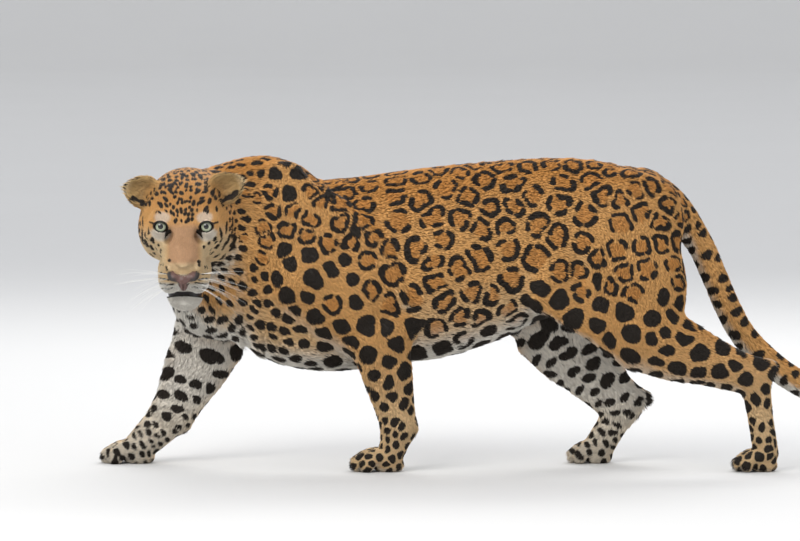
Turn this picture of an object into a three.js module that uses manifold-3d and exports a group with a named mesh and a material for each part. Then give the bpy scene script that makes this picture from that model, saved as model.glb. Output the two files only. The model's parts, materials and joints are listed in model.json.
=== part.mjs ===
// A male leopard at a slow walk, its head turned to look out to its left side.
// Millimetres, +Z up. The body lies along X with the tail towards +X, and the face looks along -Y.
// The flesh is one smooth field: chains of elliptical sections and ellipsoids that melt into each
// other. Each named piece is cut out of that field by its own region, with a thin gap between pieces.
import * as THREE from "three";
import { mergeVertices } from "three/addons/utils/BufferGeometryUtils.js";
import Module from "manifold-3d";

const wasm = await Module();
wasm.setup();

// Driving dimensions.
const gap = 0.3;
const chestHalfWidth = 138;
const hipHalfWidth = 112;
const tailHalfWidth = 28;
const eyeRadius = 17.5;
const eyeSpacing = 96;
const eyeHeight = 22;
const eyeDepth = 13;
const earLength = 80;
const earWidth = 68;
const headPitch = THREE.MathUtils.degToRad(38);
const headOrigin = new THREE.Vector3(-542, -150, 571);
const forepawHalfWidth = 43;
const hindpawHalfWidth = 38;
const ground = 0;

// The faceted surface of each kind of piece: the cell size it is sampled at, and its triangles.
const detail = {
  torso: [24, 2100], neck: [20, 600], head: [8, 2900], thigh: [18, 560], shank: [14, 380], paw: [9, 620],
  tail: [14, 260],
};

// Half sizes of each kind of limb section: [share of the way along, sideways, fore and aft].
const upperArmSections = [[0, 50, 84], [0.5, 50, 72], [1, 44, 62]];
const forearmSections = [[0, 43, 62], [0.35, 41, 56], [0.7, 35, 45], [1, 33, 37]];
const metacarpusSections = [[0, 33, 36], [1, 38, 27]];
const thighSections = [[0, 56, 98], [0.5, 62, 98], [1, 48, 80]];
const shankSections = [[0, 47, 76], [0.3, 45, 70], [0.55, 40, 56], [0.8, 33, 45], [1, 28, 36]];
const metatarsusSections = [[0, 28, 34], [0.5, 26, 27], [1, 31, 27]];

// Joints of the four legs, [x, y, z].
const joints = {
  foreLeft: {
    blade: [-338, -50, 633],
    shoulder: [-280, -104, 415],
    elbow: [-130, -108, 288],
    wrist: [-88, -92, 96],
    knuckles: [-106, -86, 34],
    heading: [-1, -0.05],
  },
  foreRight: {
    blade: [-408, 48, 633],
    shoulder: [-506, 98, 430],
    elbow: [-500, 104, 264],
    wrist: [-580, 92, 106],
    bulk: 1.24,
    knuckles: [-648, 88, 40],
    heading: [-1, 0],
  },
  hindLeft: {
    hip: [410, -74, 500],
    knee: [432, -108, 292],
    hock: [672, -92, 200],
    heel: [700, -92, 224],
    knuckles: [697, -88, 40],
    heading: [-1, -0.05],
  },
  hindRight: {
    hip: [405, 74, 500],
    knee: [243, 106, 300],
    hock: [398, 94, 124],
    heel: [442, 94, 142],
    knuckles: [348, 90, 38],
    bulk: 1.2,
    heading: [-1, 0],
  },
};

const mix = (a, b, t) => a + (b - a) * t;
const mixPoint = (a, b, t) => a.map((value, i) => mix(value, b[i], t));
const dot = (a, b) => a[0] * b[0] + a[1] * b[1] + a[2] * b[2];

// Smooth minimum of two distances, rounded over a width of about k.
function melt(a, b, k) {
  const h = Math.max(k - Math.abs(a - b), 0);
  return Math.min(a, b) - (h * h) / (4 * k);
}

// Distance, near the surface, to an ellipsoid with these half sizes, from offsets along its axes.
function ellipsoidDistance(u, v, w, ru, rv, rw) {
  const [a, b, c] = [u / ru, v / rv, w / rw];
  const k0 = Math.sqrt(a * a + b * b + c * c);
  const [e, f, g] = [a / ru, b / rv, c / rw];
  const k1 = Math.sqrt(e * e + f * f + g * g);
  return k1 > 1e-9 ? (k0 * (k0 - 1)) / k1 : -Math.min(ru, rv, rw);
}

// A chain of elliptical sections on a smooth path. Each knot is [x, y, z, along, across]:
// the half sizes along the reference direction and across it.
function chain(reference, knots, { blend = 30, steps = 4, tip = 1 } = {}) {
  const centres = new THREE.CatmullRomCurve3(
    knots.map((k) => new THREE.Vector3(k[0], k[1], k[2])), false, "catmullrom");
  const sizes = new THREE.CatmullRomCurve3(
    knots.map((k) => new THREE.Vector3(k[3], k[4], 0)), false, "catmullrom");
  const count = (knots.length - 1) * steps;
  const links = [];
  for (let i = 0; i < count; i++) {
    const from = centres.getPoint(i / count);
    const span = centres.getPoint((i + 1) / count).sub(from);
    const way = span.clone().normalize();
    const along = reference.clone().addScaledVector(way, -reference.dot(way)).normalize();
    const across = way.clone().cross(along);
    links.push({ from, span, way, along, across, square: span.lengthSq(),
      start: sizes.getPoint(i / count), end: sizes.getPoint((i + 1) / count) });
  }
  const reach = new THREE.Box3().setFromPoints(centres.getPoints(count));
  reach.expandByScalar(Math.max(...knots.map((k) => Math.max(k[3], k[4]))));
  const distance = (x, y, z) => {
    let best = Infinity;
    for (const { from, span, way, along, across, square, start, end } of links) {
      const [vx, vy, vz] = [x - from.x, y - from.y, z - from.z];
      const t = Math.min(Math.max((vx * span.x + vy * span.y + vz * span.z) / square, 0), 1);
      const [cx, cy, cz] = [vx - t * span.x, vy - t * span.y, vz - t * span.z];
      const ra = mix(start.x, end.x, t);
      const rb = mix(start.y, end.y, t);
      const d = ellipsoidDistance(
        cx * along.x + cy * along.y + cz * along.z,
        cx * across.x + cy * across.y + cz * across.z,
        cx * way.x + cy * way.y + cz * way.z, ra, rb, Math.min(ra, rb) * tip);
      if (d < best) best = d;
    }
    return best;
  };
  return { distance, reach, blend };
}

// An ellipsoid with half sizes along three axes.
function ball(centre, radii, { axes = worldAxes, blend = 30 } = {}) {
  const [u, v, w] = axes;
  const middle = new THREE.Vector3(...centre);
  const reach = new THREE.Box3().setFromCenterAndSize(
    middle, new THREE.Vector3().setScalar(2 * Math.max(...radii)));
  const c = new THREE.Vector3();
  const distance = (x, y, z) => {
    c.set(x, y, z).sub(middle);
    return ellipsoidDistance(c.dot(u), c.dot(v), c.dot(w), ...radii);
  };
  return { distance, reach, blend };
}

const worldAxes = [new THREE.Vector3(1, 0, 0), new THREE.Vector3(0, 1, 0), new THREE.Vector3(0, 0, 1)];
const sideways = worldAxes[1];
const upright = worldAxes[2];

// The head's own frame: to the animal's right, forward along the muzzle, and up through the crown.
const headAxes = [
  new THREE.Vector3(-1, 0, 0),
  new THREE.Vector3(0, -Math.cos(headPitch), -Math.sin(headPitch)),
  new THREE.Vector3(0, -Math.sin(headPitch), Math.cos(headPitch)),
];
const headFrame = new THREE.Matrix4().makeBasis(...headAxes).setPosition(headOrigin);
const inHead = (s, f, u) => new THREE.Vector3(s, f, u).applyMatrix4(headFrame).toArray();

// A limb bone's flesh between two joints, its sections spaced by their shares of the way.
function bone(from, to, sections, { bulk = 1, ...options }) {
  const knots = sections.map(([share, side, depth]) =>
    [0, 1, 2].map((i) => mix(from[i], to[i], share)).concat(side, bulk * depth));
  return chain(sideways, knots, { steps: 3, ...options });
}

function torsoFlesh() {
  const w = chestHalfWidth;
  const h = hipHalfWidth;
  return [
    chain(upright, [
      [-462, 4, 452, 104, 0.62 * w],
      [-400, 0, 434, 168, 0.8 * w],
      [-300, 0, 427, 191, 0.95 * w],
      [-180, 0, 425, 200, w],
      [-50, 0, 437, 205, 1.02 * w],
      [60, 0, 460, 196, 0.98 * w],
      [160, 0, 487, 178, 1.06 * h],
      [280, 0, 510, 158, h],
      [385, 0, 512, 138, 0.95 * h],
      [445, 0, 508, 108, 0.7 * h],
    ], { steps: 3, tip: 0.75 }),
    ball([-488, 10, 366], [88, 92, 84], { blend: 50 }),
    ball([-250, 0, 300], [150, 88, 78], { blend: 60 }),
    ball([-372, 0, 596], [92, 62, 64], { blend: 40 }),
  ];
}

function neckFlesh() {
  return [
    chain(upright, [
      [-340, 0, 516, 128, 100],
      [-400, -4, 526, 137, 102],
      [-470, -26, 534, 122, 96],
      [-522, -66, 539, 98, 88],
      [-542, -112, 550, 80, 80],
    ], { blend: 44, tip: 0.6 }),
  ];
}

function headFlesh() {
  const up = headAxes[2];
  const [cheek, pad, brow] = [[51, 14, -52], [26, 146, -63], [46, 80, 28]];
  const pairs = [1, -1].flatMap((side) => [
    ball(inHead(side * cheek[0], cheek[1], cheek[2]), [46, 64, 64], { axes: headAxes, blend: 36 }),
    ball(inHead(side * pad[0], pad[1], pad[2]), [28, 34, 27], { axes: headAxes, blend: 16 }),
    ball(inHead(side * brow[0], brow[1], brow[2]), [25, 24, 16], { axes: headAxes, blend: 22 }),
  ]);
  return [
    chain(up, [
      [...inHead(0, -60, -14), 52, 64],
      [...inHead(0, -20, -4), 64, 80],
      [...inHead(0, 34, 0), 66, 82],
      [...inHead(0, 78, -8), 54, 64],
    ], { blend: 40 }),
    chain(up, [
      [...inHead(0, 66, -14), 50, 54],
      [...inHead(0, 112, -36), 42, 41],
      [...inHead(0, 146, -48), 36, 37],
      [...inHead(0, 160, -52), 30, 33],
    ], { blend: 30 }),
    ...pairs,
    chain(up, [
      [...inHead(0, 20, -84), 34, 62],
      [...inHead(0, 80, -106), 32, 43],
      [...inHead(0, 122, -131), 30, 36],
      [...inHead(0, 138, -137), 25, 32],
    ], { blend: 14 }),
  ];
}

// A paw: the foot's sole pad and four toes that fan out ahead of the knuckles.
function pawFlesh(knuckles, heading, halfWidth, length) {
  const way = new THREE.Vector3(heading[0], heading[1], 0).normalize();
  const across = new THREE.Vector3(-way.y, way.x, 0);
  const place = (ahead, aside, z) => new THREE.Vector3(...knuckles)
    .addScaledVector(way, ahead).addScaledVector(across, aside).setZ(z).toArray();
  const toeRadius = halfWidth * 0.36;
  const toes = [-1, -0.36, 0.36, 1].map((share) => {
    const ahead = length * (1 - 0.22 * share * share);
    const aside = share * (halfWidth - toeRadius);
    return chain(upright, [
      [...place(0, 0.7 * aside, knuckles[2] - 2), toeRadius * 1.15, toeRadius * 0.95],
      [...place(0.5 * ahead, 0.9 * aside, 31), toeRadius * 1.15, toeRadius],
      [...place(ahead - toeRadius, aside, 17), toeRadius * 1.1, toeRadius * 0.92],
    ], { blend: 9, steps: 3 });
  });
  return [...toes, ball(place(4, 0, 13), [0.75 * halfWidth, 0.75 * halfWidth, 16], { blend: 14 })];
}

function forelegFlesh({ blade, shoulder, elbow, wrist, knuckles, heading, bulk }) {
  const side = Math.sign(elbow[1]);
  const middle = [0, 1, 2].map((i) => mix(blade[i], shoulder[i], 0.5));
  middle[1] += side * 12;
  const triceps = [0, 1, 2].map((i) => mix(shoulder[i], elbow[i], 0.45));
  return [
    chain(sideways, [[...blade, 26, 42], [...middle, 36, 86], [...shoulder, 48, 84]], { blend: 26 }),
    bone(shoulder, elbow, upperArmSections, { blend: 34 }),
    ball([triceps[0] + 34, triceps[1], triceps[2] + 34], [72, 46, 70], { blend: 40 }),
    ball([elbow[0] + 26, elbow[1], elbow[2] + 8], [34, 32, 34], { blend: 26 }),
    bone(elbow, wrist, forearmSections, { bulk, blend: 26 }),
    bone(wrist, knuckles, metacarpusSections, { bulk, blend: 16 }),
    ...pawFlesh(knuckles, heading, forepawHalfWidth, 88),
  ];
}

function hindlegFlesh({ hip, knee, hock, heel, knuckles, heading, bulk }) {
  const side = Math.sign(knee[1]);
  const ham = [mix(hip[0], knee[0], 0.45) + 20, side * 96, mix(hip[2], knee[2], 0.5)];
  return [
    ball([hip[0] + 8, side * 58, hip[2] + 50], [98, 56, 84], { blend: 46 }),
    bone(hip, knee, thighSections, { blend: 44 }),
    ball(ham, [74, 52, 92], { blend: 40 }),
    chain(sideways, [
      [knee[0] - 205, side * 92, knee[2] + 96, 20, 46],
      [knee[0] - 110, side * 100, knee[2] + 42, 26, 48],
      [knee[0] - 20, side * 106, knee[2] + 4, 34, 50],
    ], { blend: 50 }),
    bone(knee, hock, shankSections, { bulk, blend: 26 }),
    chain(sideways, [
      [...[0, 1, 2].map((i) => mix(knee[i], hock[i], 0.72)), 20, 20],
      [...heel, 17, 17],
    ], { blend: 26 }),
    bone(hock, knuckles, metatarsusSections, { bulk, blend: 20 }),
    ...pawFlesh(knuckles, heading, hindpawHalfWidth, 72),
  ];
}

// The tail hangs behind the hocks, runs out low over the ground and turns up at its tip.
const tailPath = [
  [440, 0, 594], [507, 0, 554], [554, 0, 490], [586, 0, 423], [614, 0, 357], [650, 2, 290],
  [706, 6, 230], [776, 12, 180], [860, 20, 142], [950, 32, 128], [1030, 46, 152], [1082, 58, 208],
];

function tailFlesh() {
  const w = tailHalfWidth;
  const sizes = [1.35, 1.2, 1.05, 1, 1, 1, 1, 0.97, 0.92, 0.86, 0.8, 0.66];
  return [chain(sideways, tailPath.map((p, i) => [...p, w * sizes[i], w * sizes[i]]), { blend: 44 })];
}

const flesh = [
  ...torsoFlesh(),
  ...neckFlesh(),
  ...Object.entries(joints).flatMap(([name, leg]) =>
    name.startsWith("fore") ? forelegFlesh(leg) : hindlegFlesh(leg)),
  ...tailFlesh(),
  ...headFlesh(),
];

// The field of the whole body: negative inside, about the distance in mm near the skin.
function body([x, y, z]) {
  let d = 1e3;
  for (const { distance, reach: { min, max }, blend } of flesh) {
    const away = Math.max(min.x - x, x - max.x, min.y - y, y - max.y, min.z - z, z - max.z);
    if (away > Math.max(d, 0) + blend) continue;
    d = melt(d, distance(x, y, z), blend);
  }
  return d;
}

function slope([x, y, z]) {
  const step = 0.5;
  return [
    (body([x + step, y, z]) - body([x - step, y, z])) / (2 * step),
    (body([x, y + step, z]) - body([x, y - step, z])) / (2 * step),
    (body([x, y, z + step]) - body([x, y, z - step])) / (2 * step),
  ];
}

// Moves a point near the surface along the field's slope until it lies on the surface.
function settle(p, rounds, limit) {
  for (let i = 0; i < rounds; i++) {
    const off = body(p);
    if (Math.abs(off) > limit) return p;
    const g = slope(p);
    const k = off / Math.max(dot(g, g), 0.25);
    p = [p[0] - k * g[0], p[1] - k * g[1], p[2] - k * g[2]];
  }
  return p;
}

// The field on a grid. Blocks that lie far from the surface take one value for all their points.
function sample(low, n, cell) {
  const block = 4;
  const index = (i, j, k) => (i * n[1] + j) * n[2] + k;
  const values = new Float64Array(n[0] * n[1] * n[2]).fill(cell);
  const far = 1.6 * block * cell;
  for (let i = 1; i < n[0] - 1; i += block)
    for (let j = 1; j < n[1] - 1; j += block)
      for (let k = 1; k < n[2] - 1; k += block) {
        const middle = body([i, j, k].map((q, m) => low[m] + cell * (q + (block - 1) / 2)));
        for (let a = i; a < Math.min(i + block, n[0] - 1); a++)
          for (let b = j; b < Math.min(j + block, n[1] - 1); b++)
            for (let c = k; c < Math.min(k + block, n[2] - 1); c++)
              values[index(a, b, c)] = Math.abs(middle) > far
                ? middle : body([low[0] + a * cell, low[1] + b * cell, low[2] + c * cell]);
      }
  return { values, index };
}

// Where the corners of a grid square are inside and outside by turns, the outer corner nearest the
// surface counts as inside, so that no two sheets of the surface meet along an edge.
function joinSheets(values, n) {
  const steps = [n[1] * n[2], n[2], 1];
  const squares = [[steps[0], steps[1]], [steps[1], steps[2]], [steps[0], steps[2]]];
  for (let changed = true; changed;) {
    changed = false;
    for (let i = 1; i < n[0] - 2; i++)
      for (let j = 1; j < n[1] - 2; j++)
        for (let k = 1; k < n[2] - 2; k++)
          for (const [p, q] of squares) {
            const at = i * steps[0] + j * steps[1] + k;
            const ring = [at, at + p, at + p + q, at + q];
            const [a, b, c, d] = ring.map((r) => values[r] < 0);
            if (a !== c || b !== d || a === b) continue;
            const outer = ring.filter((r) => values[r] >= 0);
            values[values[outer[0]] < values[outer[1]] ? outer[0] : outer[1]] = -0.01;
            changed = true;
          }
  }
}

// The body's surface inside a box, as a closed mesh: one vertex in each grid cell that the surface
// crosses, and one quad across each grid edge that it crosses.
function surface(box, cell) {
  const low = box.min.toArray();
  const n = box.getSize(new THREE.Vector3()).toArray().map((s) => Math.ceil(s / cell) + 1);
  const { values, index } = sample(low, n, cell);
  joinSheets(values, n);
  const corners = [0, 1, 2, 3, 4, 5, 6, 7].map((c) => [c & 1, (c >> 1) & 1, (c >> 2) & 1]);
  const cellEdges = corners.flatMap((_, a) =>
    [1, 2, 4].filter((bit) => !(a & bit)).map((bit) => [a, a | bit]));
  const vertices = [];
  const vertexOf = new Map();
  const faces = [];
  for (let i = 0; i < n[0] - 1; i++)
    for (let j = 0; j < n[1] - 1; j++)
      for (let k = 0; k < n[2] - 1; k++) {
        const v = corners.map(([a, b, c]) => values[index(i + a, j + b, k + c)]);
        const crossed = cellEdges.filter(([a, b]) => v[a] < 0 !== v[b] < 0);
        if (!crossed.length) continue;
        const sum = [0, 0, 0];
        for (const [a, b] of crossed) {
          const t = v[a] / (v[a] - v[b]);
          for (let m = 0; m < 3; m++) sum[m] += mix(corners[a][m], corners[b][m], t);
        }
        const p = [i, j, k].map((q, m) => low[m] + cell * (q + sum[m] / crossed.length));
        vertexOf.set(index(i, j, k), vertices.length);
        vertices.push(settle(p, 2, 0.9 * cell));
        const here = v[0] < 0;
        const edges = [
          [j * k, [i + 1, j, k], [i, j - 1, k - 1], [i, j, k - 1], [i, j, k], [i, j - 1, k]],
          [i * k, [i, j + 1, k], [i - 1, j, k - 1], [i - 1, j, k], [i, j, k], [i, j, k - 1]],
          [i * j, [i, j, k + 1], [i - 1, j - 1, k], [i, j - 1, k], [i, j, k], [i - 1, j, k]],
        ];
        for (const [inner, next, ...around] of edges) {
          if (!inner || here === values[index(...next)] < 0) continue;
          const [a, b, c, d] = around.map((cellAt) => vertexOf.get(index(...cellAt)));
          faces.push(...(here ? [[a, b, c], [a, c, d]] : [[a, c, b], [a, d, c]]));
        }
      }
  return { vertices, faces };
}

const cross = (a, b) => [a[1] * b[2] - a[2] * b[1], a[2] * b[0] - a[0] * b[2], a[0] * b[1] - a[1] * b[0]];
const minus = (a, b) => [a[0] - b[0], a[1] - b[1], a[2] - b[2]];

// Thins a closed mesh to about the wanted number of triangles. It joins the two ends of the edge
// that strays least from the planes its vertices have stood for, again and again. Edges longer than
// the longest stay, and a joined vertex less than the limit off the body's surface moves onto it.
function thin({ vertices, faces }, wanted, { limit = 0, longest = Infinity }) {
  const normal = ([a, b, c], at = vertices) => cross(minus(at[b], at[a]), minus(at[c], at[a]));
  const facesOf = vertices.map(() => new Set());
  const planes = vertices.map(() => new Float64Array(10));
  const stamp = new Int32Array(vertices.length);
  faces.forEach((face, i) => {
    const n = normal(face);
    const size = Math.hypot(...n) || 1;
    const [a, b, c] = n.map((q) => q / size);
    const d = -dot([a, b, c], vertices[face[0]]);
    const q = [a * a, a * b, a * c, a * d, b * b, b * c, b * d, c * c, c * d, d * d];
    for (const v of face) {
      facesOf[v].add(i);
      q.forEach((value, m) => (planes[v][m] += (value * size) / 2));
    }
  });
  const strayAt = (q, [x, y, z]) =>
    q[0] * x * x + 2 * q[1] * x * y + 2 * q[2] * x * z + 2 * q[3] * x + q[4] * y * y +
    2 * q[5] * y * z + 2 * q[6] * y + q[7] * z * z + 2 * q[8] * z + q[9];
  const heap = [];
  const swap = (i, j) => ([heap[i], heap[j]] = [heap[j], heap[i]]);
  const push = (item) => {
    let i = heap.push(item) - 1;
    while (i > 0) {
      const up = (i - 1) >> 1;
      if (heap[up].cost <= heap[i].cost) break;
      swap(i, up);
      i = up;
    }
  };
  const pop = () => {
    swap(0, heap.length - 1);
    const top = heap.pop();
    for (let i = 0, next = 1; next < heap.length; i = next, next = 2 * i + 1) {
      if (next + 1 < heap.length && heap[next + 1].cost < heap[next].cost) next++;
      if (heap[i].cost <= heap[next].cost) break;
      swap(i, next);
    }
    return top;
  };
  const around = (v) => new Set([...facesOf[v]].flatMap((f) => faces[f]).filter((w) => w !== v));
  const offer = (a, b) => {
    const middle = mixPoint(vertices[a], vertices[b], 0.5);
    const span = minus(vertices[a], vertices[b]);
    if (Math.hypot(...span) > longest) return;
    const cost = strayAt(planes[a], middle) + strayAt(planes[b], middle) + 2e-4 * dot(span, span) ** 2;
    push({ a, b, cost, age: stamp[a] + stamp[b], middle });
  };
  vertices.forEach((_, v) => around(v).forEach((w) => v < w && offer(v, w)));
  let left = faces.length;
  while (left > wanted && heap.length) {
    const { a, b, age, middle } = pop();
    if (stamp[a] < 0 || stamp[b] < 0 || stamp[a] + stamp[b] !== age) continue;
    const next = around(b);
    if ([...around(a)].filter((w) => next.has(w)).length !== 2) continue;
    const place = limit ? settle(middle, 1, limit) : middle;
    const kept = [...facesOf[a], ...facesOf[b]]
      .filter((f) => !(faces[f].includes(a) && faces[f].includes(b)));
    const turned = kept.some((f) => {
      const before = normal(faces[f]);
      const moved = faces[f].map((v) => (v === a || v === b ? place : vertices[v]));
      const after = normal([0, 1, 2], moved);
      return dot(before, after) < 0.3 * Math.hypot(...before) * Math.hypot(...after);
    });
    if (turned) continue;
    for (const f of [...facesOf[b]]) {
      if (faces[f].includes(a)) {
        for (const v of faces[f]) facesOf[v].delete(f);
        faces[f] = null;
        left--;
      } else {
        faces[f] = faces[f].map((v) => (v === b ? a : v));
        facesOf[a].add(f);
      }
    }
    facesOf[b].clear();
    vertices[a] = place;
    planes[b].forEach((value, m) => (planes[a][m] += value));
    stamp[b] = -1e9;
    stamp[a]++;
    const near = around(a);
    near.forEach((w) => stamp[w]++);
    near.forEach((w) => around(w).forEach((x) => offer(w, x)));
  }
  return { vertices, faces: faces.filter((f) => f) };
}

function meshGeometry({ vertices, faces }) {
  const geometry = new THREE.BufferGeometry();
  geometry.setAttribute("position", new THREE.Float32BufferAttribute(vertices.flat(), 3));
  geometry.setIndex(faces.flat());
  return geometry;
}

// A closed three.js geometry as a manifold-3d solid, and back.
function solid(geometry) {
  const g = geometry.clone();
  g.deleteAttribute("normal");
  g.deleteAttribute("uv");
  const merged = mergeVertices(g, 1e-4);
  return new wasm.Manifold(new wasm.Mesh({
    numProp: 3,
    vertProperties: merged.attributes.position.array,
    triVerts: new Uint32Array(merged.index.array),
  }));
}

const triples = (list) =>
  Array.from({ length: list.length / 3 }, (_, i) => Array.from(list.subarray(3 * i, 3 * i + 3)));

// The slivers that cuts leave behind, shorter than a twentieth of a millimetre, are closed up.
function geometryOf(manifold) {
  const { vertProperties, triVerts } = manifold.getMesh();
  const mesh = { vertices: triples(vertProperties), faces: triples(triVerts) };
  return mergeVertices(meshGeometry(thin(mesh, 0, { longest: 0.05 })), 1e-4);
}

const largest = (manifold) =>
  manifold.decompose().reduce((best, piece) => (piece.volume() > best.volume() ? piece : best));

// Region shapes. Each takes how far it is grown beyond its own size, so that neighbours keep a gap.
const boxRegion = (low, high) => (grow) => {
  const box = new THREE.Box3(new THREE.Vector3(...low), new THREE.Vector3(...high)).expandByScalar(grow);
  const size = box.getSize(new THREE.Vector3());
  const centre = box.getCenter(new THREE.Vector3());
  return solid(new THREE.BoxGeometry(...size.toArray()).translate(...centre.toArray()));
};

const eggRegion = (centre, radii) => (grow) => {
  const g = new THREE.SphereGeometry(1, 28, 18).rotateX(Math.PI / 2);
  return solid(g.scale(...radii.map((r) => r + grow)).translate(...centre));
};

// Everything ahead of a plane through a point, on the side its normal points to.
const halfRegion = (point, normal) => (grow) => {
  const far = 3000;
  const way = new THREE.Vector3(...normal).normalize();
  const turn = new THREE.Quaternion().setFromUnitVectors(new THREE.Vector3(0, 0, 1), way);
  const g = new THREE.BoxGeometry(far, far, far).translate(0, 0, far / 2 - grow).applyQuaternion(turn);
  return solid(g.translate(...point));
};

const both = (...regions) => (grow) => regions.map((r) => r(grow)).reduce((a, b) => a.intersect(b));
const either = (...regions) => (grow) => regions.map((r) => r(grow)).reduce((a, b) => a.add(b));
const everything = boxRegion([-1200, -500, -100], [1500, 500, 900]);

const headEgg = (grow) => {
  const g = new THREE.SphereGeometry(1, 32, 20).scale(...[132, 186, 166].map((r) => r + grow));
  return solid(g.translate(0, 50, -36).applyMatrix4(headFrame));
};
const napeNormal = new THREE.Vector3(0, 0.92, 0.4).transformDirection(headFrame).toArray();
const headRegion = both(headEgg, halfRegion(inHead(0, -75, 70), napeNormal));
const neckRegion = halfRegion([-430, 0, 640], [-0.9, 0, 0.43]);
const tailRegion = both(
  halfRegion([520, 0, 540], [0.62, 0, -0.78]),
  halfRegion([510, 0, 470], [0.87, 0, 0.49]));

function legRegion(side, egg, eggRadii, box) {
  const [x0, x1, top] = box;
  const [y0, y1] = side < 0 ? [-290, -12] : [12, 290];
  const upper = eggRegion([egg[0], side * egg[1], egg[2]], eggRadii);
  return either(upper, boxRegion([x0, y0, -40], [x1, y1, top]));
}

const legRegions = {
  foreLeft: either(
    legRegion(-1, [-225, 200, 370], [168, 145, 262], [-330, 60, 228]),
    boxRegion([-190, -290, 220], [0, -62, 275])),
  foreRight: either(
    legRegion(1, [-470, 200, 370], [150, 145, 250], [-860, -330, 232]),
    boxRegion([-860, 12, 220], [-425, 290, 290])),
  hindLeft: legRegion(-1, [400, 190, 405], [158, 138, 225], [285, 780, 350]),
  hindRight: legRegion(1, [345, 190, 400], [178, 138, 225], [150, 500, 300]),
};

const pieces = [];
const taken = [];
const floorRegion = boxRegion([-1500, -800, ground - 400], [1800, 800, ground]);

function bounds(manifold) {
  const b = manifold.boundingBox();
  return new THREE.Box3(new THREE.Vector3(...b.min), new THREE.Vector3(...b.max));
}

// Cuts one piece out of the body: its own region, less what earlier pieces have taken.
function claim(name, [cell, wanted], region, colour, reach, shape = (flesh) => flesh) {
  const own = region(0);
  const box = bounds(own).intersect(reach);
  const meshBox = box.clone().expandByScalar(2.2 * cell);
  const mesh = thin(surface(meshBox, cell), wanted, { limit: 0.9 * cell });
  let made = solid(meshGeometry(mesh)).intersect(own).subtract(floorRegion(0));
  for (const other of taken) made = made.subtract(other(gap));
  taken.push(region);
  pieces.push({ name, manifold: largest(shape(largest(made))), colour, roughness: 0.85 });
}

const reachOf = (low, high) => new THREE.Box3(new THREE.Vector3(...low), new THREE.Vector3(...high));

// The cut across a limb at a joint: a plane square to the middle of the bend, set a share of the
// way along the bone below the joint.
function jointCut(above, joint, below, share) {
  const at = new THREE.Vector3(...joint);
  const before = at.clone().sub(new THREE.Vector3(...above)).normalize();
  const after = new THREE.Vector3(...below).sub(at);
  const point = at.addScaledVector(after, share).toArray();
  return { point, region: halfRegion(point, before.add(after.normalize()).toArray()) };
}

function claimLeg(name, leg, region) {
  const side = leg.elbow ? "fore" : "hind";
  const hand = name.endsWith("Left") ? "left" : "right";
  const upper = leg.shoulder ?? leg.hip;
  const middle = leg.elbow ?? leg.knee;
  const lower = leg.wrist ?? leg.hock;
  const lowerCut = jointCut(upper, middle, lower, 0.12);
  const pawCut = jointCut(middle, lower, leg.knuckles, 0.15);
  const all = bounds(region(0));
  all.min.z = -20;
  const x0 = Math.min(lower[0], leg.knuckles[0]) - 200;
  const x1 = Math.max(lower[0], leg.knuckles[0]) + 110;
  const pawReach = reachOf([x0, all.min.y, -20], [x1, all.max.y, pawCut.point[2] + 80]);
  const lowReach = reachOf(
    [Math.min(middle[0], lower[0]) - 120, all.min.y, lower[2] - 70],
    [Math.max(middle[0], lower[0]) + 120, all.max.y, middle[2] + 100]);
  claim(`${side}paw_${hand}`, detail.paw, both(region, pawCut.region), 0xd8b07a, pawReach);
  claim(`${side}leg_lower_${hand}`, detail.shank, both(region, lowerCut.region), 0xcf9f62, lowReach);
  claim(`${side}leg_upper_${hand}`, detail.thigh, region, 0xc8914f, all);
}

for (const [name, leg] of Object.entries(joints)) claimLeg(name, leg, legRegions[name]);

// The head: lids over each eye, an open line of the mouth, and a seat for the nose leather.
const eyes = [1, -1].map((side) => {
  let [near, far] = [0, 160];
  for (let i = 0; i < 30; i++) {
    const f = (near + far) / 2;
    if (body(inHead((side * eyeSpacing) / 2, f, eyeHeight)) < -eyeDepth) near = f;
    else far = f;
  }
  return { side, place: [(side * eyeSpacing) / 2, near, eyeHeight] };
});

const headPiece = (geometry) => solid(geometry.applyMatrix4(headFrame));
const sphereAt = (place, radius) => new THREE.SphereGeometry(radius, 18, 12).translate(...place);

const lidThickness = 4;
const lidShell = ({ place }) => headPiece(sphereAt(place, eyeRadius + lidThickness));
const socket = ({ place }) => headPiece(sphereAt(place, eyeRadius + gap));

function lidOpening({ place, side }) {
  const shape = new THREE.Shape();
  const [half, high] = [15, 12];
  const outward = -side;
  shape.moveTo(-outward * half, -4);
  shape.quadraticCurveTo(-outward * 2, high + 7, outward * half, 4);
  shape.quadraticCurveTo(outward * 2, -high - 6, -outward * half, -4);
  const g = new THREE.ExtrudeGeometry(shape, { depth: 60, bevelEnabled: false, curveSegments: 8 });
  // The opening looks straight at the viewer, level with the ground, turned a little outward.
  g.rotateX(Math.PI / 2).rotateZ(outward * 0.2);
  return solid(g.translate(...inHead(...place)));
}

const mouthLine = (() => {
  const profile = new THREE.Shape();
  profile.moveTo(240, -90);
  profile.lineTo(150, -87);
  profile.quadraticCurveTo(118, -83, 86, -78);
  profile.lineTo(84, -82);
  profile.quadraticCurveTo(116, -98, 150, -107);
  profile.lineTo(240, -114);
  const g = new THREE.ExtrudeGeometry(profile, { depth: 200, bevelEnabled: false, curveSegments: 6 });
  g.translate(0, 0, -100).applyMatrix4(new THREE.Matrix4().makeBasis(
    new THREE.Vector3(0, 1, 0), new THREE.Vector3(0, 0, 1), new THREE.Vector3(1, 0, 0)));
  return headPiece(g);
})();

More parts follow.
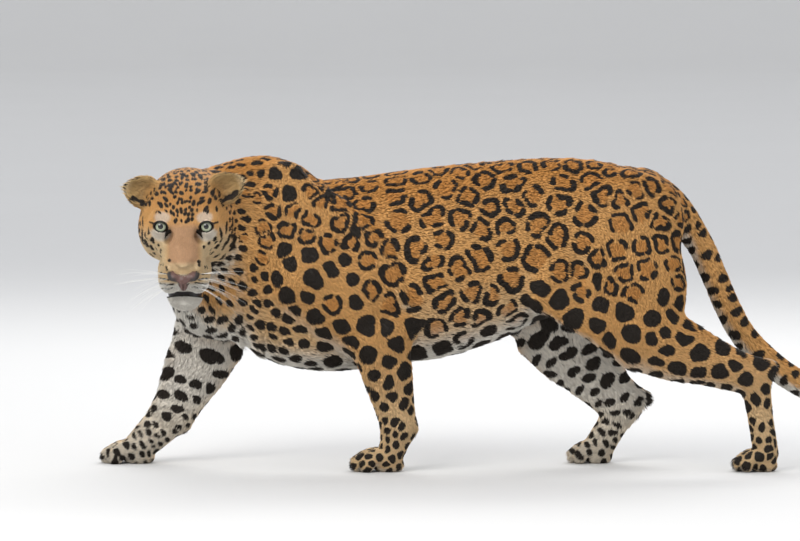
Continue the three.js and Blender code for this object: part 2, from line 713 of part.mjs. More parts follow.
// The nose leather: a wedge set into the end of the muzzle, with two nostrils.
const nose = {
  halfTop: 31, halfBottom: 7, high: -30, low: -72, waist: -50, pinch: 10, depth: 100, lean: 0.32,
};
const noseCorner = { across: 8, down: 5 };
const nostrilShape = { radii: [6.5, 14, 4.5], turn: 0.45, splay: 0.35, place: [14, 190, -50] };

function noseShape(grow) {
  const [top, bottom] = [nose.halfTop + grow, nose.halfBottom + grow];
  const [high, low] = [nose.high + grow, nose.low - grow];
  const shape = new THREE.Shape();
  shape.moveTo(-top, high - noseCorner.down);
  shape.quadraticCurveTo(-top, high, -top + noseCorner.across, high);
  shape.lineTo(top - noseCorner.across, high);
  shape.quadraticCurveTo(top, high, top, high - noseCorner.down);
  shape.quadraticCurveTo(top - nose.pinch, nose.waist, bottom, low);
  shape.lineTo(-bottom, low);
  shape.quadraticCurveTo(-top + nose.pinch, nose.waist, -top, high - noseCorner.down);
  const depth = nose.depth + grow;
  const g = new THREE.ExtrudeGeometry(shape, { depth, bevelEnabled: false, curveSegments: 4 });
  g.rotateX(Math.PI / 2).translate(0, 64 + grow, 40).rotateX(nose.lean);
  return headPiece(g.translate(0, 180, -40));
}

function nostril(side) {
  const { radii, turn, splay, place } = nostrilShape;
  const g = new THREE.SphereGeometry(1, 12, 8).scale(...radii);
  g.rotateY(-side * turn).rotateZ(side * splay);
  return headPiece(g.translate(side * place[0], place[1], place[2]));
}

const headReach = reachOf([-2000, -2000, -100], [2000, 2000, 2000]);
claim("head", detail.head, headRegion, 0xd09a58, headReach, (head) => {
  let made = head;
  for (const eye of eyes) made = made.add(lidShell(eye));
  for (const eye of eyes) made = made.subtract(socket(eye)).subtract(lidOpening(eye));
  const leather = largest(made.intersect(noseShape(0))).subtract(nostril(1)).subtract(nostril(-1));
  pieces.push({ name: "nose", manifold: largest(leather), colour: 0x6b4740, roughness: 0.6 });
  return made.subtract(noseShape(gap)).subtract(mouthLine);
});
const neckReach = reachOf([-700, -300, 300], [-300, 260, 760]);
claim("neck", detail.neck, both(neckRegion, everything), 0xcc9550, neckReach);

const tailCut = (i) => {
  const [a, b] = [new THREE.Vector3(...tailPath[i - 1]), new THREE.Vector3(...tailPath[i + 1])];
  return halfRegion(tailPath[i], b.sub(a).toArray());
};
const tailReach = reachOf([480, -60, 40], [1180, 130, 640]);
claim("tail_tip", detail.tail, both(tailRegion, tailCut(9), everything), 0xc08a4a, tailReach);
claim("tail_middle", detail.tail, both(tailRegion, tailCut(6), everything), 0xc89050, tailReach);
claim("tail_base", detail.tail, both(tailRegion, everything), 0xd09a58, tailReach);
claim("torso", detail.torso, everything, 0xd09a58, reachOf([-640, -260, 180], [640, 260, 760]));

for (const { side, place } of eyes)
  pieces.push({
    name: side < 0 ? "eye_left" : "eye_right", manifold: headPiece(sphereAt(place, eyeRadius)),
    colour: 0xb8c48a, roughness: 0.1,
  });

// The ears: rounded cups that lie out sideways and open forward, seated on the skull.
const earDepth = 24;
const earWall = 7;

function ear(side, lift, height) {
  const stem = new THREE.Vector3(side * 0.9, -0.12, lift).normalize();
  const face = new THREE.Vector3(side * 0.1, 0.66, 0.75);
  face.addScaledVector(stem, -face.dot(stem)).normalize();
  const across = face.clone().cross(stem);
  const frame = new THREE.Matrix4().makeBasis(across, face, stem).setPosition(side * 58, -6, height);
  const egg = (rx, ry, rz, y, z) =>
    headPiece(new THREE.SphereGeometry(1, 16, 10).rotateX(Math.PI / 2).scale(rx, ry, rz)
      .translate(0, y, z).applyMatrix4(frame));
  const half = earWidth / 2;
  const outer = egg(half, earDepth, earLength / 2 + 4, 0, earLength / 2 - 10);
  const cup = egg(half - earWall, earDepth, earLength / 2 - 4, 2 * earWall, earLength / 2 - 6);
  const skull = pieces.find((piece) => piece.name === "head").manifold;
  const away = stem.transformDirection(headFrame).multiplyScalar(1.6 * gap);
  return largest(outer.subtract(cup).subtract(skull)).translate(away.toArray());
}

for (const [side, name, lift, height] of [[-1, "ear_left", 0.42, 30], [1, "ear_right", 0.24, 24]])
  pieces.push({ name, manifold: ear(side, lift, height), colour: 0xb0804a, roughness: 0.9 });

const leopard = new THREE.Group();
for (const { name, manifold, colour, roughness } of pieces) {
  const finish = { color: colour, roughness, metalness: 0, flatShading: true };
  const mesh = new THREE.Mesh(geometryOf(manifold), new THREE.MeshStandardMaterial(finish));
  mesh.name = name;
  leopard.add(mesh);
}

// The origin is under the middle of the whole figure, on the floor.
const whole = new THREE.Box3().setFromObject(leopard);
leopard.position.set(-(whole.min.x + whole.max.x) / 2, -(whole.min.y + whole.max.y) / 2, -whole.min.z);

export default leopard;
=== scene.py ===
import json
import math
import bpy
import numpy as np
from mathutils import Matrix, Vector

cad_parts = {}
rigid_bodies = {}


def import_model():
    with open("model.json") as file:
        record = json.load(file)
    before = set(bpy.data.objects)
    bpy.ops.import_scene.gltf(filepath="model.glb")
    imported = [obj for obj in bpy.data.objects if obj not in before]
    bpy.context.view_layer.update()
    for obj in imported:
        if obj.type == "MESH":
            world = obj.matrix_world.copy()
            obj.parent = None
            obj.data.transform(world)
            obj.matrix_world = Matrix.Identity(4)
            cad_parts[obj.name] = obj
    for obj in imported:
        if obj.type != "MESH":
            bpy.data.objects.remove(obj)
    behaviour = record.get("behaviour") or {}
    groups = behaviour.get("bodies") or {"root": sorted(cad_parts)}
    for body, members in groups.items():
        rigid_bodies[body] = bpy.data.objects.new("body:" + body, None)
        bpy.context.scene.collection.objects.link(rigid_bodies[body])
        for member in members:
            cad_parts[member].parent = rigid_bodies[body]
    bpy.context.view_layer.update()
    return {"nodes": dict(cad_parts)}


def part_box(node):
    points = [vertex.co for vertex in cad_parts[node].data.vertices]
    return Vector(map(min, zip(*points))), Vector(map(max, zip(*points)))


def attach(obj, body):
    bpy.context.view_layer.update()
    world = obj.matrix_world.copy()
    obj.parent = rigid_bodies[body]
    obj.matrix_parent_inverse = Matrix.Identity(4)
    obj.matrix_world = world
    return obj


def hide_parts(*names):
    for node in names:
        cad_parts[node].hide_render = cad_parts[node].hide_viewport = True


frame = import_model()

# A male leopard at a slow walk, its head turned to look out to its left side.
# Shapes are worked out in millimetres in the drawing's own axes, and put into metres at the end.

# The drawing's sizes, as in the solids.
figure = {
    "chestHalfWidth": 138, "hipHalfWidth": 112, "tailHalfWidth": 28,
    "eyeRadius": 17.5, "eyeSpacing": 96, "eyeHeight": 22, "eyeDepth": 13,
    "earLength": 80, "earWidth": 68, "headPitch": 38, "headOrigin": (-542, -150, 571),
    "forepawHalfWidth": 43, "hindpawHalfWidth": 38,
}
legs = {
    "foreLeft": dict(blade=(-338, -50, 633), shoulder=(-280, -104, 415), elbow=(-130, -108, 288),
                     wrist=(-88, -92, 96), knuckles=(-106, -86, 34), heading=(-1, -0.05), bulk=1),
    "foreRight": dict(blade=(-408, 48, 633), shoulder=(-506, 98, 430), elbow=(-500, 104, 264),
                      wrist=(-580, 92, 106), knuckles=(-648, 88, 40), heading=(-1, 0), bulk=1.24),
    "hindLeft": dict(hip=(410, -74, 500), knee=(432, -108, 292), hock=(672, -92, 200),
                     heel=(700, -92, 224), knuckles=(697, -88, 40), heading=(-1, -0.05), bulk=1),
    "hindRight": dict(hip=(405, 74, 500), knee=(243, 106, 300), hock=(398, 94, 124),
                      heel=(442, 94, 142), knuckles=(348, 90, 38), heading=(-1, 0), bulk=1.2),
}
upperArmSections = [(0, 50, 84), (0.5, 50, 72), (1, 44, 62)]
forearmSections = [(0, 43, 62), (0.35, 41, 56), (0.7, 35, 45), (1, 33, 37)]
metacarpusSections = [(0, 33, 36), (1, 38, 27)]
thighSections = [(0, 56, 98), (0.5, 62, 98), (1, 48, 80)]
shankSections = [(0, 47, 76), (0.3, 45, 70), (0.55, 40, 56), (0.8, 33, 45), (1, 28, 36)]
metatarsusSections = [(0, 28, 34), (0.5, 26, 27), (1, 31, 27)]
tailPath = [(440, 0, 594), (507, 0, 554), (554, 0, 490), (586, 0, 423), (614, 0, 357), (650, 2, 290),
            (706, 6, 230), (776, 12, 180), (860, 20, 142), (950, 32, 128), (1030, 46, 152), (1082, 58, 208)]
tailSizes = [1.35, 1.2, 1.05, 1, 1, 1, 1, 0.97, 0.92, 0.86, 0.8, 0.66]
parts = ["torso", "neck", "head", "foreLeft", "foreRight", "hindLeft", "hindRight", "tail",
         "earRight", "earLeft"]

sideways, upright = np.array([0, 1.0, 0]), np.array([0, 0, 1.0])
worldAxes = np.eye(3)
pitch = math.radians(figure["headPitch"])
# the head's own axes: to the animal's right, forward along the muzzle, up through the crown
headAxes = np.array([(-1, 0, 0), (0, -math.cos(pitch), -math.sin(pitch)),
                     (0, -math.sin(pitch), math.cos(pitch))])
headOrigin = np.array(figure["headOrigin"], float)


def inHead(s, f, u):  # head origin + s right + f forward + u up
    return headOrigin + np.stack(np.broadcast_arrays(s, f, u), -1) @ headAxes


def toHead(p):  # the head's own coordinates of points in the drawing
    return (p - headOrigin) @ headAxes.T


def unit(v):  # each vector over its own length
    return v / np.maximum(np.linalg.norm(v, axis=-1, keepdims=True), 1e-9)


def ramp(low, high, x):  # smooth step: 3t^2 - 2t^3 with t from 0 at low to 1 at high
    t = np.clip((x - low) / (high - low), 0, 1)
    return t * t * (3 - 2 * t)


def melt(a, b, k):  # smooth minimum: min(a, b) - h^2 / 4k, with h = max(k - |a - b|, 0)
    h = np.maximum(k - np.abs(a - b), 0)
    return np.minimum(a, b) - h * h / (4 * k)


def eggDistance(u, v, w, ru, rv, rw):  # near the surface, (k0^2 - k0) / k1 is the distance to an ellipsoid
    a, b, c = u / ru, v / rv, w / rw
    k0 = np.sqrt(a * a + b * b + c * c)
    k1 = np.sqrt((a / ru) ** 2 + (b / rv) ** 2 + (c / rw) ** 2)
    return np.where(k1 > 1e-9, k0 * (k0 - 1) / np.maximum(k1, 1e-9), -np.minimum(np.minimum(ru, rv), rw))


def catmull(knots, count):  # uniform Catmull-Rom curve through the knots, sampled at count + 1 places
    k = np.asarray(knots, float)
    k = np.vstack([2 * k[0] - k[1], k, 2 * k[-1] - k[-2]])
    place = np.linspace(0, len(k) - 3, count + 1)
    i = np.minimum(place.astype(int), len(k) - 4)
    t = (place - i)[:, None]
    a, b, c, d = k[i], k[i + 1], k[i + 2], k[i + 3]
    return b + 0.5 * t * (c - a + t * (2 * a - 5 * b + 4 * c - d + t * (3 * (b - c) + d - a)))


# A chain of elliptical sections on a smooth path; each knot is (x, y, z, half size along, half size across).
# Its hair lies along the path, or against it where lie is -1.
def chain(reference, knots, part, blend=30, steps=4, tip=1.0, lie=1):
    knots = np.asarray(knots, float)
    count = (len(knots) - 1) * steps
    line, sizes = catmull(knots[:, :3], count), catmull(knots[:, 3:], count)
    span = np.diff(line, axis=0)
    way = unit(span)
    along = unit(reference - way * (way @ reference)[:, None])
    across = np.cross(way, along)
    wide = knots[:, 3:].max()
    square = (span * span).sum(1)
    starts = (line[:-1] * span).sum(1)
    beyond = (1.3 * tip * sizes.min(1).max() + 10) / np.sqrt(square)
    beyond[[0, -1]] = np.inf

    def distance(p):
        best = np.full(len(p), np.inf)
        link = np.zeros(len(p), int)
        share = np.zeros(len(p))
        places = (p @ span.T - starts) / square
        for i in range(count):
            near = (places[:, i] > -beyond[i]) & (places[:, i] < 1 + beyond[i])
            near = np.nonzero(near)[0]
            t = np.clip(places[near, i], 0, 1)
            c = p[near] - line[i] - t[:, None] * span[i]
            ra = sizes[i, 0] + t * (sizes[i + 1, 0] - sizes[i, 0])
            rb = sizes[i, 1] + t * (sizes[i + 1, 1] - sizes[i, 1])
            d = eggDistance(c @ along[i], c @ across[i], c @ way[i], ra, rb, np.minimum(ra, rb) * tip)
            closer = d < best[near]
            near, d, t = near[closer], d[closer], t[closer]
            best[near] = d
            link[near] = i
            share[near] = (i + t) / count
        return best, way[link] * lie, share

    return dict(distance=distance, low=line.min(0) - wide, high=line.max(0) + wide, blend=blend, part=part,
                cut=False)


# An ellipsoid; its hair lies along the given direction.
def ball(centre, radii, part, lie=(1, 0, 0), axes=worldAxes, blend=30, cut=False):
    centre, wide = np.asarray(centre, float), max(radii)
    direction = unit(np.asarray(lie, float))

    def distance(p):
        q = (p - centre) @ np.asarray(axes).T
        d = eggDistance(q[:, 0], q[:, 1], q[:, 2], *radii)
        return d, np.broadcast_to(direction, p.shape), np.full(len(p), 0.5)

    return dict(distance=distance, low=centre - wide, high=centre + wide, blend=blend, part=part, cut=cut)


def bone(start, end, sections, part, bulk=1, **options):  # flesh between two joints
    start, end = np.asarray(start, float), np.asarray(end, float)
    knots = [(*(start + (end - start) * share), side, bulk * depth) for share, side, depth in sections]
    return chain(sideways, knots, part, steps=3, **options)


def torsoFlesh():  # one chain from chest to hips, with balls for the brisket, the breast and the withers
    w, h = figure["chestHalfWidth"], figure["hipHalfWidth"]
    return [
        chain(upright, [
            (-462, 4, 452, 104, 0.62 * w), (-400, 0, 434, 168, 0.8 * w), (-300, 0, 427, 191, 0.95 * w),
            (-180, 0, 425, 200, w), (-50, 0, 437, 205, 1.02 * w), (60, 0, 460, 196, 0.98 * w),
            (160, 0, 487, 178, 1.06 * h), (280, 0, 510, 158, h), (385, 0, 512, 138, 0.95 * h),
            (445, 0, 508, 108, 0.7 * h)], "torso", steps=3, tip=0.75),
        ball((-488, 10, 366), (88, 92, 84), "torso", lie=(0.3, 0, -1), blend=50),
        ball((-250, 0, 300), (150, 88, 78), "torso", blend=60),
        ball((-372, 0, 596), (92, 62, 64), "torso", blend=40),
    ]


def neckFlesh():  # a chain that bends from the shoulders to the back of the turned head
    return [chain(upright, [
        (-340, 0, 516, 128, 100), (-400, -4, 526, 137, 102), (-470, -26, 534, 122, 96),
        (-522, -66, 539, 98, 88), (-542, -112, 550, 80, 80)], "neck", blend=44, tip=0.6, lie=-1)]


def headFlesh():  # chains for skull, muzzle and jaw, with balls for cheeks, pads and brows
    def headChain(knots, blend):
        return chain(headAxes[2], [(*inHead(*k[:3]), *k[3:]) for k in knots], "head", blend=blend, lie=-1)

    pairs = []
    for side in (1, -1):
        for place, radii, blend, lie in (
                ((51, 14, -52), (46, 64, 64), 36, (0.7, -0.8, -0.3)),
                ((26, 146, -63), (28, 34, 27), 16, (0.8, -0.5, -0.5)),
                ((46, 80, 28), (25, 24, 16), 22, (0.3, -0.9, 0.4))):
            turned = np.array([side, 1, 1])
            pairs.append(ball(inHead(*(turned * place)), radii, "head", axes=headAxes, blend=blend,
                              lie=turned * lie @ headAxes))
    return [
        headChain([(0, -60, -14, 52, 64), (0, -20, -4, 64, 80), (0, 34, 0, 66, 82), (0, 78, -8, 54, 64)], 40),
        headChain([
            (0, 66, -14, 50, 54), (0, 112, -36, 42, 41), (0, 146, -48, 36, 37), (0, 160, -52, 30, 33)], 30),
        *pairs,
        headChain([
            (0, 20, -84, 34, 62), (0, 80, -106, 32, 43), (0, 122, -131, 30, 36), (0, 138, -137, 25, 32)], 14),
    ]


# A paw: the sole pad and four toes that fan out ahead of the knuckles.
def pawFlesh(knuckles, heading, halfWidth, length, part):
    way = unit(np.array([*heading, 0.0]))
    across = np.array([-way[1], way[0], 0])

    def place(ahead, aside, z):
        p = np.array(knuckles, float) + way * ahead + across * aside
        p[2] = z
        return p

    toe = halfWidth * 0.36
    made = []
    for share in (-1, -0.36, 0.36, 1):
        ahead = length * (1 - 0.22 * share * share)
        aside = share * (halfWidth - toe)
        made.append(chain(upright, [
            (*place(0, 0.7 * aside, knuckles[2] - 2), toe * 1.15, toe * 0.95),
            (*place(0.5 * ahead, 0.9 * aside, 31), toe * 1.15, toe),
            (*place(ahead - toe, aside, 17), toe * 1.1, toe * 0.92)], part, blend=9, steps=3))
    made.append(ball(place(4, 0, 13), (0.75 * halfWidth, 0.75 * halfWidth, 16), part, lie=way, blend=14))
    return made


# The foreleg from its blade to its paw, each bone a chain of sections, with balls for triceps and elbow.
def forelegFlesh(part):
    leg = legs[part]
    blade, shoulder, elbow = (np.array(leg[k], float) for k in ("blade", "shoulder", "elbow"))
    side = np.sign(elbow[1])
    middle = (blade + shoulder) / 2 + np.array([0, 12 * side, 0])
    triceps = shoulder + (elbow - shoulder) * 0.45 + np.array([34, 0, 34])
    return [
        chain(sideways, [(*blade, 26, 42), (*middle, 36, 86), (*shoulder, 48, 84)], part, blend=26),
        bone(shoulder, elbow, upperArmSections, part, blend=34),
        ball(triceps, (72, 46, 70), part, lie=(0.5, 0, -0.8), blend=40),
        ball(elbow + np.array([26, 0, 8]), (34, 32, 34), part, lie=(0.3, 0, -1), blend=26),
        bone(elbow, leg["wrist"], forearmSections, part, bulk=leg["bulk"], blend=26),
        bone(leg["wrist"], leg["knuckles"], metacarpusSections, part, bulk=leg["bulk"], blend=16),
        *pawFlesh(leg["knuckles"], leg["heading"], figure["forepawHalfWidth"], 88, part),
    ]


# The hind leg from rump to paw in the same way, with the fold of the flank ahead of it and the cord of the
# heel behind.
def hindlegFlesh(part):
    leg = legs[part]
    hip, knee, hock = (np.array(leg[k], float) for k in ("hip", "knee", "hock"))
    side, bulk = np.sign(knee[1]), leg["bulk"]
    mid = hip + (knee - hip) * np.array([0.45, 0, 0.5])
    calf = knee + (hock - knee) * 0.72
    return [
        ball((hip[0] + 8, side * 58, hip[2] + 50), (98, 56, 84), part, lie=(0.8, 0, -0.6), blend=46),
        bone(hip, knee, thighSections, part, blend=44),
        ball((mid[0] + 20, side * 96, mid[2]), (74, 52, 92), part, lie=(0.4, 0, -0.9), blend=40),
        chain(sideways, [
            (knee[0] - 205, side * 92, knee[2] + 96, 20, 46),
            (knee[0] - 110, side * 100, knee[2] + 42, 26, 48),
            (knee[0] - 20, side * 106, knee[2] + 4, 34, 50)], part, blend=50),
        bone(knee, hock, shankSections, part, bulk=bulk, blend=26),
        chain(sideways, [(*calf, 20, 20), (*leg["heel"], 17, 17)], part, blend=26),
        bone(hock, leg["knuckles"], metatarsusSections, part, bulk=bulk, blend=20),
        *pawFlesh(leg["knuckles"], leg["heading"], figure["hindpawHalfWidth"], 72, part),
    ]


def tailFlesh():  # one chain on the tail's path, round all along
    w = figure["tailHalfWidth"]
    return [chain(sideways, [(*p, w * s, w * s) for p, s in zip(tailPath, tailSizes)], "tail", blend=44)]


flesh = [*torsoFlesh(), *neckFlesh(), *forelegFlesh("foreLeft"), *forelegFlesh("foreRight"),
         *hindlegFlesh("hindLeft"), *hindlegFlesh("hindRight"), *tailFlesh(), *headFlesh()]


# The field of the flesh: negative inside, about the distance in mm near the surface.
# With more, also the lie of the hair and how much each part has a say at each point.
def field(p, shapes, more=False):
    d = np.full(len(p), 1e3)
    lie, say = np.zeros(p.shape), np.zeros((len(p), len(parts)))
    share = np.zeros((len(p), len(parts)))
    for shape in shapes:
        room = np.maximum(d, 0) + shape["blend"]
        near = np.nonzero(np.all([(p[:, i] >= shape["low"][i] - room) & (p[:, i] <= shape["high"][i] + room)
                                  for i in range(3)], axis=0))[0]
        if not len(near):
            continue
        own, way, along = shape["distance"](p[near])
        if shape["cut"]:
            d[near] = -melt(-d[near], own, shape["blend"])
            continue
        d[near] = melt(d[near], own, shape["blend"])
        if more:
            weight = np.exp(-np.clip(own, -10, 80) / 9)
            lie[near] += way * weight[:, None]
            column = parts.index(shape["part"])
            say[near, column] += weight
            share[near, column] += weight * along
    if more:
        share /= np.maximum(say, 1e-9)
        return d, lie, say / np.maximum(say.sum(1, keepdims=True), 1e-9), share
    return d


# The animal's own skin: the flesh less the depth of the coat, with the finer forms of the face.
eyeHalf, eyeUp = figure["eyeSpacing"] / 2, figure["eyeHeight"]


def eyePlaces():  # the eye's centre lies eyeDepth under the flesh, found by halving
    made = []
    for side in (1, -1):
        near, far = 0.0, 160.0
        for _ in range(30):
            f = (near + far) / 2
            inside = field(inHead(side * eyeHalf, f, eyeUp)[None], flesh)[0] < -figure["eyeDepth"]
            near, far = (f, far) if inside else (near, f)
        made.append(np.array([side * eyeHalf, near, eyeUp]))
    return made


eyes = eyePlaces()
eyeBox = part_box("eye_right")
shift = np.array((eyeBox[0] + eyeBox[1]) / 2) - inHead(*eyes[0]) / 1000
print("drawing to frame, m:", np.round(shift, 5))


def toFrame(p):  # millimetres of the drawing into the frame's metres
    return np.asarray(p) / 1000 + shift


ears = {
    "earRight": dict(side=1, lift=0.24, height=24),
    "earLeft": dict(side=-1, lift=0.42, height=30),
}


def earAxes(ear):  # across the cup, out of the cup, and up the stem, in the head's own axes
    stem = unit(np.array([ear["side"] * 0.9, -0.12, ear["lift"]]))
    face = np.array([ear["side"] * 0.1, 0.66, 0.75])
    face = unit(face - stem * (face @ stem))
    return np.array([np.cross(face, stem), face, stem])


def earFoot(ear):  # where the stem of an ear starts, in the head's own coordinates
    return np.array([ear["side"] * 58, -6, ear["height"]])


# An ear: an egg less the egg of its cup, with the rim rounded between them.
def earFlesh(part):
    ear = ears[part]
    axes = earAxes(ear)
    half, length = figure["earWidth"] / 2, figure["earLength"]
    base = earFoot(ear)
    worldWay = axes @ headAxes
    centre = inHead(*(base + axes[2] * (length / 2 - 10)))
    low, high = centre - 60, centre + 60

    def distance(p):
        q = (toHead(p) - base) @ axes.T
        across = q[:, 0] * (1 + 0.22 * ramp(length * 0.3, length, q[:, 2]))
        outer = eggDistance(across, q[:, 1], q[:, 2] - length / 2 + 10, half + 2, 23, length / 2 + 4)
        cup = eggDistance(across, q[:, 1] - 15, q[:, 2] - length / 2 + 6, half - 6, 27, length / 2 - 8)
        return -melt(-outer, cup, 7), np.broadcast_to(worldWay[2], p.shape), np.clip(q[:, 2] / length, 0, 1)

    return dict(distance=distance, low=low, high=high, blend=12, part=part, cut=False)


gaze = unit(np.array([0, -math.cos(math.radians(4)), math.sin(math.radians(4))]))
lids = {"half": 13.4, "high": 9.0, "tilt": 0.2, "thick": 4.0}


def eyeAxes(side):  # along the opening from its inner to its outer corner, out of the eye, and up
    out = unit(np.array([-side * math.cos(lids["tilt"]), 0, math.sin(lids["tilt"])]))
    out = unit(out - gaze * (out @ gaze))
    return np.array([out, gaze, np.cross(out, gaze) * side])


# The loose skin behind each shoulder blade: two soft rolls side by side. The far one lies further ahead.
folds = {
    "line": [(-286, 74, 606), (-232, 106, 562), (-176, 130, 500), (-136, 138, 430), (-112, 130, 372)],
    "rolls": [(0, (6, 9, 10, 9, 5)), (34, (5, 9, 10, 8, 4))], "farAhead": -150,
}


def shoulderFolds():
    made = []
    for side, ahead in ((-1, 0), (1, folds["farAhead"])):
        for back, sizes in folds["rolls"]:
            knots = [(x + back + ahead, side * y, z, size, size)
                     for (x, y, z), size in zip(folds["line"], sizes)]
            made.append(chain(sideways, knots, "torso", blend=30))
    return made


# The finer forms of the face, added to the flesh and cut from it, in the head's own coordinates.
def faceDetail():
    made = []

    def head(place, radii, blend, cut=False, lie=(0, 0.6, 0.8)):
        made.append(ball(inHead(*place), radii, "head", np.array(lie) @ headAxes, headAxes, blend, cut))

    def lid(place, radii, blend, cut=True):
        made.append(ball(place, radii, "head", np.array((0, -0.3, 1)) @ headAxes, axes, blend, cut))

    for side, eye in ((1, eyes[0]), (-1, eyes[1])):
        axes = eyeAxes(side)
        middle = inHead(*eye)
        # the hollow between eye and bridge, and the cheekbone below the eye
        head(eye + (-side * 17, 19, -10), (10, 13, 15), 14, cut=True)
        head(eye + (side * 6, -8, -27), (30, 22, 14), 18, lie=(side * 0.8, -0.5, -0.2))
        # the lids over the ball, and the opening between them, with its drawn-down inner corner
        r = figure["eyeRadius"] + lids["thick"]
        lid(middle, (r + 2.5, r, r), 9, cut=False)
        lid(middle + axes[1] * 19 - axes[2] * 1.2, (lids["half"], 17, lids["high"]), 3)
        lid(middle + axes[1] * 17 - axes[0] * 12.5 - axes[2] * 5.0, (7, 9, 3.4), 2.5)
        # the pads the whiskers grow from
        head((side * 29, 158, -73), (24, 26, 23), 9, lie=(side * 0.9, -0.4, -0.3))
        head((side * 40, 112, -80), (17, 34, 19), 16, lie=(side * 0.8, -0.6, -0.3))
        head((side * 29, 120, -28), (14, 52, 16), 12, lie=(side * 0.4, -1, 0))
    # the bridge of the nose, broad and flat across, with a low ridge just above the leather
    head((0, 112, -14), (30, 66, 19), 14, lie=(0, -1, 0))
    head((0, 158, -32), (30, 20, 13), 9, lie=(0, -1, 0.2))
    # the chin with the lower lip, the crease between the lips, and the groove from nose to lip
    head((0, 122, -136), (35, 38, 29), 20, lie=(0, -0.6, -0.6))
    for side in (1, -1):
        head((side * 19, 178, -107), (19, 17, 1.3), 5, cut=True)
        head((side * 38, 154, -108), (9, 20, 1.2), 6, cut=True)
    head((0, 198, -88), (2.0, 18, 17), 4, cut=True)
    return made


skinShapes = [*flesh, *shoulderFolds(), *faceDetail(), earFlesh("earRight"), earFlesh("earLeft")]
headMiddle = inHead(0, 40, -20)
coatDepth = {"body": 5.0, "face": 2.0, "feet": 2.4}


def depthOf(p):  # how deep the skin lies under the coat: least on the face and the feet
    r = np.linalg.norm(p - headMiddle, axis=1)
    body = coatDepth["body"] + (coatDepth["feet"] - coatDepth["body"]) * (1 - ramp(50, 280, p[:, 2]))
    return body + (coatDepth["face"] - body) * (1 - ramp(105, 175, r))


def skinField(p):  # the flesh less the coat, flat where it stands
    return np.maximum(field(p, skinShapes) + depthOf(p), 1.0 - p[:, 2])


def slope(p, step=0.5, distance=skinField):  # a field and its differences along the three axes
    offsets = np.vstack([np.zeros(3), np.eye(3)]) * step
    d = distance((p[None] + offsets[:, None]).reshape(-1, 3)).reshape(4, len(p))
    return d[0], (d[1:] - d[0]).T / step


def settle(p, rounds=2, limit=4.0, distance=skinField):  # p - d * slope / slope^2, again and again
    for _ in range(rounds):
        d, g = slope(p, distance=distance)
        move = (d / np.maximum((g * g).sum(1), 0.25))[:, None] * g
        p = p - move * np.minimum(1, limit / np.maximum(np.linalg.norm(move, axis=1, keepdims=True), 1e-9))
    return p


